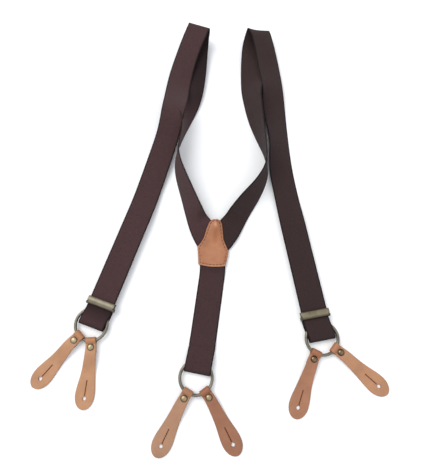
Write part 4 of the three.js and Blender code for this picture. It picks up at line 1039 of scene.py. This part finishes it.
def stitches(name, chain, zfun, length, gap, rad, material, body):
    """Short rounded runs of thread that dive into the leather at both ends."""
    step = length + gap
    s = np.r_[0, np.cumsum(np.linalg.norm(np.diff(chain, axis=0), axis=1))]
    total = s[-1]
    count = int(total // step)
    step = total / count
    verts, faces, u, v = [], [], [], []
    ring = 8
    for k in range(count):
        base = len(verts)
        t = np.linspace(0, 1, 7)
        ss = k * step + t * (length / (length + gap)) * step
        xy = np.stack([np.interp(ss, s, chain[:, j]) for j in (0, 1)], 1)
        prof = np.array([-0.45, -0.05, 0.13, 0.17, 0.13, -0.05, -0.45])
        c = np.array([[x, y, zfun(x, y) + h] for (x, y), h in zip(xy, prof)])
        T = unit(np.gradient(c, axis=0)); up = np.array([0, 0, 1.0])
        for i in range(7):
            w = unit(np.cross(T[i], up)); nn = np.cross(w, T[i])
            for q in range(ring):
                a = 2 * math.pi * q / ring
                verts.append(c[i] + rad * (math.cos(a) * w + math.sin(a) * nn)); u.append(ss[i]); v.append(a)
        for f in tube_faces(7, ring):
            faces.append(tuple(base + i for i in f))
    return piece(name, np.array(verts), faces, material, body, {"u": u, "v": v}, "patch_leather")


chain = inset_outline(2.9)
stitches("patch_stitching", chain, lambda x, y: 6.2 + float(tent(x, y)) + patch_relief(x, y, min(patch_distance(x, y)[1], 20)), 3.1, 2.1, 0.50, THREAD, "webbing")


# ------------------------------------------------------------------ rings
for name, (x, y) in RINGS.items():
    body = "ring_" + name
    n1, n2 = 128, 20
    verts, rec = [], []
    for i in range(n1):
        a = 2 * math.pi * i / n1
        # a drawn wire ring is never quite even; the joint is filed nearly flush
        wob = 0.05 * math.sin(3 * a + 1) + 0.03 * math.sin(7 * a)
        joint = 0.12 * math.exp(-((((a - 1.57 + math.pi) % (2 * math.pi)) - math.pi) / 0.02) ** 2)
        for j in range(n2):
            b = 2 * math.pi * j / n2
            rr = WIRE_R - joint
            verts.append((x + (RING_R + wob * 0.4 + rr * math.cos(b)) * math.cos(a), y + (RING_R + wob * 0.4 + rr * math.cos(b)) * math.sin(a), RING_Z + rr * math.sin(b)))
            rec.append(min(1, joint * 8 + (0.7 if math.cos(b) < -0.7 else 0)))
    faces = [(i * n2 + j, ((i + 1) % n1) * n2 + j, ((i + 1) % n1) * n2 + (j + 1) % n2, i * n2 + (j + 1) % n2) for i in range(n1) for j in range(n2)]
    piece("wire_ring_" + name, np.array(verts), faces, BRASS_RING, body, {"recess": rec}, "antique_brass", ("ring_" + name,))


# ------------------------------------------------------------------ leather button tabs
def half_at(a):
    xs, ws = zip(*TAB_HALF)
    return float(np.interp(a, xs, ws))


def smooth_half(a):
    """Half width: smooth through the table, then one even curve round the tip."""
    if a >= 73.0:
        return 13.62 * math.sqrt(max(0.0, 1 - ((a - 73.0) / (TIP_A - 73.0)) ** 2.12))
    ks = np.linspace(-3, 3, 7)
    return float(np.mean([min(half_at(a + k), 13.62) for k in ks]))


def tab_plan(c, seat, blade):
    D = math.pi / 180
    bearing = lambda a: (seat + (blade - seat) * float(sstep((a - 3) / 22))) * D
    x0, y0 = c[0] + RING_R * math.sin(seat * D), c[1] - RING_R * math.cos(seat * D)
    step = 0.25
    n = int(TIP_A / step) + 8
    xs, ys = [x0], [y0]
    for i in range(n):
        b = bearing((i + 0.5) * step)
        xs.append(xs[-1] + step * math.sin(b)); ys.append(ys[-1] - step * math.cos(b))
    arr = np.array([xs, ys])

    def plan(s):
        b = bearing(s)
        if s <= 0:
            x, y = x0 + s * math.sin(seat * D), y0 - s * math.cos(seat * D)
        else:
            k = s / step
            x, y = float(np.interp(k, range(n + 1), arr[0])), float(np.interp(k, range(n + 1), arr[1]))
        return np.array([x, y, 0]), np.array([math.sin(b), -math.cos(b), 0]), np.array([-math.cos(b), -math.sin(b), 0])
    return plan


def tab_path():
    rm, zc, ac = TAB_BORE + TAB_T / 2, RING_Z, -TAB_SAG
    key = [(FLAP_A, 4.75), (14, 4.75), (11.5, 4.75), (RIVET_A, 4.75), (7, 4.75), (5.4, 4.74), (4.2, 4.42), (2.9, 3.5), (1.4, 2.45)]
    key += [(ac + rm * math.cos(-math.pi / 2 - math.pi * k / 10), zc + rm * math.sin(-math.pi / 2 - math.pi * k / 10)) for k in range(11)]
    key += [(1.2, 9.35), (2.4, 8.35), (3.5, 7.48), (4.7, 7.08), (6.4, 7.05), (RIVET_A, 7.05), (11.5, 7.05), (14, 7.04), (17.2, 6.95),
            (21, 6.4), (26, 5.3), (31, 4.1), (36, 2.9), (41, 1.9), (46, 1.27), (51, 1.06)]
    fine, _ = spline(np.array(key), 3)
    pts = [tuple(p) for p in fine]
    holes = [HOLE_A - HOLE_R * math.cos(t) for t in np.linspace(0.15, math.pi, 22)]
    more = sorted(set([round(a, 3) for a in list(np.arange(52, SLIT_A, 0.5)) + [SLIT_A, SLIT_A + 0.25, SLIT_A + 0.6] + list(np.arange(SLIT_A + 1.2, 74.9, 1.1)) + holes
                       + list(np.arange(81.6, 90, 0.7)) + list(np.arange(90, 92.6, 0.3)) + [92.75, 92.9, 93.02, 93.1, 93.16, 93.2]]))
    pts += [(a, 1.05) for a in more if a > 51.3]
    return pts


def opening_half(a):
    w = 0.0
    if SLIT_A < a < HOLE_A:
        w = min(SLIT_W / 2, (a - SLIT_A) * 0.75 + 0.02)
    if abs(a - HOLE_A) < HOLE_R:
        w = max(w if a < HOLE_A else 0, math.sqrt(max(0, HOLE_R ** 2 - (a - HOLE_A) ** 2)))
    return w


for name, t in TABS.items():
    plan = tab_plan(RINGS[t["ring"]], t["seat"], t["blade"])
    path = np.array(tab_path())
    Tg = unit(np.gradient(path, axis=0))
    T2 = TAB_T / 2
    verts, edge, shade = [], [], []
    cols = [0.0, 0.03, 0.08, 0.18, 0.32, 0.48, 0.64, 0.78, 0.88]
    n_in = len(cols)
    rim = [(0.55, 1.0), (0.28, 0.86), (0.08, 0.55), (0.0, 0.12), (0.0, -0.3), (0.1, -0.62), (0.32, -0.9), (0.6, -1.0)]   # inset mm, height
    ring_n = n_in + len(rim) + n_in
    R = len(path)
    passed = 0
    for hs in (1, -1):
        for i, (a, z) in enumerate(path):
            c, al, sd = plan(a)
            tz = Tg[i]
            # normal of the side profile in (along, up), outside of the folded tab
            na, nz = -tz[1], tz[0]
            wo = smooth_half(a) if a > 0 else half_at(a)
            wi = opening_half(a) if (i > R // 2 and a > 51) else 0.0
            wo = max(wo, wi + 0.25)
            on_blade = i > R // 2
            # the knife cut closes toward the flesh side; only the round hole goes straight through
            in_hole = abs(a - HOLE_A) < HOLE_R
            wb = wi if in_hole else min(wi, 0.04)
            seq = []
            for k in cols:
                seq.append((wi + (wo - 0.6 - wi) * k, 1.0 - (0.18 if (wi > 0 and k == 0) else 0)))
            seq += [(max(wi + 0.05, wo - ins), h) for ins, h in rim]
            for k in reversed(cols):
                seq.append((wb + (wo - 0.6 - wb) * k, -1.0))
            for w, h in seq:
                crown = 0.0
                if on_blade and h > 0.9:
                    crown = 0.10 * (1 - (w / max(wo, 1)) ** 2)
                off = h * T2 + crown * 0.5
                p = c + al * (na * off) + sd * (hs * w) + np.array([0, 0, z + nz * off])
                # leather gives a little round the rivet
                if on_blade and h > 0 and abs(a - 8.3) < 7.5:
                    rr = math.hypot(a - 8.3, w)
                    p = p - np.array([0, 0, 0.16 * math.exp(-((rr - 5.1) / 1.0) ** 2)])
                p[2] = max(p[2], 0.0)
                verts.append(p)
                near = min(wo - w, 3.0)
                if wi > 0:
                    near = min(near, (w - wi))
                if a > 85:
                    near = min(near, (TIP_A - a))
                edge.append(max(0.0, 1 - near / 0.9) if h > 0 else max(0.0, 1 - near / 0.9))
                # painted shade on the tab: darker round the nose at the ring, in a ring just outside the rivet cap
                # where its shadow falls, and beside the slit
                s_ = 0.0
                if a < 6.5:
                    s_ = float(sstep((6.5 - a) / 5)) * 0.9                    # the nose round the ring is darker
                if on_blade:
                    rr = math.hypot(a - 8.3, w)
                    s_ = max(s_, 0.8 * math.exp(-((rr - 5.3) / 0.7) ** 2))     # pressed ring round the rivet
                    if wi > 0:
                        s_ = max(s_, math.exp(-((w - wi) / 0.8) ** 2))
                shade.append(min(1, s_))
    n_half = R * ring_n
    faces = []
    for hb, flip in ((0, False), (n_half, True)):
        for i in range(R - 1):
            a0 = opening_half(path[i][0]) if (i > R // 2 and path[i][0] > 51) else 0
            a1 = opening_half(path[i + 1][0]) if (i + 1 > R // 2 and path[i + 1][0] > 51) else 0
            for k in range(ring_n - 1):
                q = (hb + i * ring_n + k, hb + i * ring_n + k + 1, hb + (i + 1) * ring_n + k + 1, hb + (i + 1) * ring_n + k)
                faces.append(q)
            if max(a0, a1) > 0:
                k = ring_n - 1
                faces.append((hb + i * ring_n + k, hb + i * ring_n, hb + (i + 1) * ring_n, hb + (i + 1) * ring_n + k))
    # ends: flap end and tip, joined across both halves
    for i in (0, R - 1):
        a_ = [i * ring_n + k for k in range(ring_n)]
        b_ = [n_half + i * ring_n + k for k in range(ring_n)]
        faces.append(tuple(a_ + list(reversed(b_))))
    piece("leather_tab_" + name, np.array(verts), faces, TAB_MATS[name], "tab_" + name, {"edge": edge, "shade": shade}, "tab_leather",
          ("tab_" + name,), weld=1e-6)

    # rivet: domed cap with a rolled rim, and the post that clenches the fold
    c, al, sd = plan(8.3)
    z0 = 7.05 + TAB_T / 2 + 0.12
    cap_mat = BRASS_CAP[name.split("_")[0]]
    prof = [(0.0, 0.0), (4.3, 0.0), (4.8, 0.14), (4.95, 0.42), (4.92, 0.68), (4.7, 0.88), (4.42, 0.92), (4.22, 1.02), (3.95, 1.36), (3.4, 1.82), (2.65, 2.2),
            (1.75, 2.46), (0.9, 2.58), (0.0, 2.62)]
    seg = 40
    vv, ff, rec = [], [], []
    for r, z in prof:
        for j in range(seg):
            b = 2 * math.pi * j / seg
            vv.append((c[0] + r * math.cos(b), c[1] + r * math.sin(b), z0 + z))
            rec.append(1.0 if 4.1 < r < 4.6 and z > 0.5 else (0.85 if r >= 4.6 or z < 0.5 else (0.45 if r > 3.8 else (0.12 if r > 3 else 0.0))))
    for i in range(len(prof) - 1):
        for j in range(seg):
            k = (j + 1) % seg
            ff.append((i * seg + j, i * seg + k, (i + 1) * seg + k, (i + 1) * seg + j))
    piece("rivet_dome_" + name, np.array(vv), ff, cap_mat, "tab_" + name, {"recess": rec}, "antique_brass", ("rivet_cap_" + name,), weld=1e-7)
    prof = [(0.0, 0.0), (0.9, 0.0), (1.2, 0.18), (3.2, 0.05), (3.65, 0.2), (3.8, 0.45), (3.65, 0.72), (3.2, 0.8), (1.4, 0.8), (1.4, 5.9), (0.0, 5.9)]
    vv, ff, rec = [], [], []
    for r, z in prof:
        for j in range(seg):
            b = 2 * math.pi * j / seg
            vv.append((c[0] + r * math.cos(b), c[1] + r * math.sin(b), 2.5 + z)); rec.append(0.6 if 0 < r < 1.5 else 0.0)
    for i in range(len(prof) - 1):
        for j in range(seg):
            k = (j + 1) % seg
            ff.append((i * seg + j, i * seg + k, (i + 1) * seg + k, (i + 1) * seg + j))
    piece("rivet_back_" + name, np.array(vv), ff, cap_mat, "tab_" + name, {"recess": rec}, "antique_brass", ("rivet_post_" + name,), weld=1e-7)


# ------------------------------------------------------------------ adjusters
def local(side, pts):
    """(across, along, up) of an adjuster to plan millimetres."""
    a, e = np.array(ADJ[side][0]), np.array(ADJ[side][1])
    p = np.asarray(pts, float)
    return np.stack([a[0] + p[:, 1] * e[0] + p[:, 0] * e[1], a[1] + p[:, 1] * e[1] - p[:, 0] * e[0], p[:, 2]], -1)


def bevel(ob, width, segs=2, angle=35):
    m = ob.modifiers.new("bevel", "BEVEL")
    m.width = width / 1000; m.segments = segs; m.limit_method = "ANGLE"; m.angle_limit = math.radians(angle)
    m.harden_normals = False


def lever(side):
    # Half-round cover, rolled round the pin at its lower edge. Loop of (along, up).
    outer = [(5.5, 11.85), (5.62, 12.1), (5.5, 12.45)]
    for k in range(1, 16):
        s = k / 16
        e_ = 5.5 - s * 9.4
        z_ = 12.45 + 1.85 * math.sin(math.pi * min(1, s * 0.93 + 0.0)) ** 0.8 * (1 - 0.12 * s)
        outer.append((e_, min(z_, 14.15)))
    roll = [(PIN_E + 1.68 * math.cos(f), PIN_Z + 1.68 * math.sin(f)) for f in np.linspace(math.radians(100), math.radians(330), 16)]
    inner = [(-2.0, 12.95), (-0.8, 13.12), (0.6, 13.12), (2.0, 12.9), (3.4, 12.45), (4.6, 11.95), (5.1, 11.75)]
    prof = outer[:-1] + roll + inner
    prof = np.array(prof)
    xs = np.r_[-20.6, -20.45, -20.0, -19.3, np.linspace(-18, 18, 25), 19.3, 20.0, 20.45, 20.6]
    verts, rec = [], []
    n = len(prof)
    cen = prof.mean(0)
    for x in xs:
        inset = max(0.0, abs(x) - 19.3) / 1.3
        for (e_, z_) in prof:
            k = 1 - 0.10 * inset ** 2
            ee = cen[0] + (e_ - cen[0]) * k
            zz = 12.4 + (z_ - 12.4) * k
            xx = x
            if e_ < -1.2:                                   # the roll sits between the ears
                xx = x * (19.55 / 20.6)
            # slight hand-worn unevenness along the plate
            zz += 0.04 * math.sin(x * 0.5 + e_ * 0.4) if z_ > 13 else 0
            verts.append((xx, ee, zz))
            lo_ = float(sstep((-1.6 - e_) / 2.6)); hi_ = float(sstep((e_ - 3.6) / 1.8))
            rec.append(min(1, max(0.85 * lo_, 0.6 * hi_, float(sstep((abs(x) - 19.2) / 1.2)) * 0.7)))
    f = tube_faces(len(xs), n)
    ob = piece("adjuster_plate_" + side, local(side, verts), f, BRASS_ADJ[side], "lever_" + side, {"recess": rec}, "antique_brass", ("adjuster_lever_" + side,))
    return ob


for side in ("left", "right"):
    lever(side)
    # frame: bent sheet with ears, bevelled edges, and the round rear bar
    for node, nm, body in (("adjuster_frame_" + side, "adjuster_body_" + side, "adjuster_" + side), ("adjuster_pin_" + side, "adjuster_pivot_" + side, "adjuster_" + side)):
        src = frame["nodes"][node]
        me = src.data.copy()
        ob = bpy.data.objects.new(nm, me)
        ob.matrix_world = src.matrix_world.copy()
        bpy.context.scene.collection.objects.link(ob)
        bm = bmesh.new(); bm.from_mesh(me)
        bmesh.ops.remove_doubles(bm, verts=bm.verts, dist=2e-6)
        bmesh.ops.dissolve_limit(bm, angle_limit=math.radians(3), verts=bm.verts, edges=bm.edges)
        bm.to_mesh(me); bm.free()
        me.materials.clear(); me.materials.append(BRASS_BODY)
        at = me.attributes.get("recess") or me.attributes.new("recess", "FLOAT", "POINT")
        at.data.foreach_set("value", [0.35] * len(me.vertices))
        bevel(ob, 0.18)
        for p in me.polygons:
            p.use_smooth = True
        try:
            me.set_sharp_from_angle(angle=math.radians(40))
        except Exception:
            pass
        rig.slot(ob, "antique_brass"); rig.ride(ob, body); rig.replaces(ob, node)

# ------------------------------------------------------------------ stage, light, camera
me = bpy.data.meshes.new("floor")
S = 60.0
me.from_pydata([(-S, -S, -0.0003), (S, -S, -0.0003), (S, S, -0.0003), (-S, S, -0.0003)], [], [(0, 1, 2, 3)])
floor = bpy.data.objects.new("floor", me)
bpy.context.scene.collection.objects.link(floor)
fm = Nodes("floor_paper")
fm.link(fm.ramp(fm.noise(3, 2, 0.5), [(0.3, (0.93, 0.93, 0.935)), (0.7, (0.95, 0.95, 0.955))]), fm.bsdf.inputs["Base Color"])
fm.bsdf.inputs["Roughness"].default_value = 0.95
fm.bsdf.inputs["Specular IOR Level"].default_value = 0.1
me.materials.append(fm.mat)
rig.stage(floor)

world = bpy.data.worlds.new("studio")
bpy.context.scene.world = world
world.use_nodes = True
world.node_tree.nodes["Background"].inputs[0].default_value = (0.93, 0.96, 1.0, 1)
world.node_tree.nodes["Background"].inputs[1].default_value = 0.84


def sun(name, loc, strength, angle, color):
    l = bpy.data.lights.new(name, "SUN")
    l.energy = strength; l.angle = math.radians(angle); l.color = color
    o = bpy.data.objects.new(name, l)
    o.location = loc
    o.rotation_euler = (-Vector(loc)).to_track_quat("-Z", "Y").to_euler()
    bpy.context.scene.collection.objects.link(o)


sun("key", (-0.9, 0.75, 1.6), 1.75, 42, (1.0, 0.985, 0.96))
sun("fill", (1.2, -0.6, 1.6), 0.45, 70, (0.95, 0.97, 1.0))

D, TH = 0.650, math.radians(14.0)
cam = bpy.data.cameras.new("camera")
co = bpy.data.objects.new("camera", cam)
co.location = (ORIGIN[0] / 1000, ORIGIN[1] / 1000 - D * math.sin(TH), D * math.cos(TH))
co.rotation_euler = (TH, 0, 0)
cam.lens = 0.653 * 650 / 472 * 36
cam.sensor_width = 36
cam.clip_start = 0.01
bpy.context.scene.collection.objects.link(co)
bpy.context.scene.camera = co
bpy.context.scene.view_settings.view_transform = "Standard"
bpy.context.scene.view_settings.look = "None"

json.dump({"cad": CAD_BOX, "visual": [list(map(float, c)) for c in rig.bounds()], "flat_mm": FLAT}, open("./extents.json", "w"))
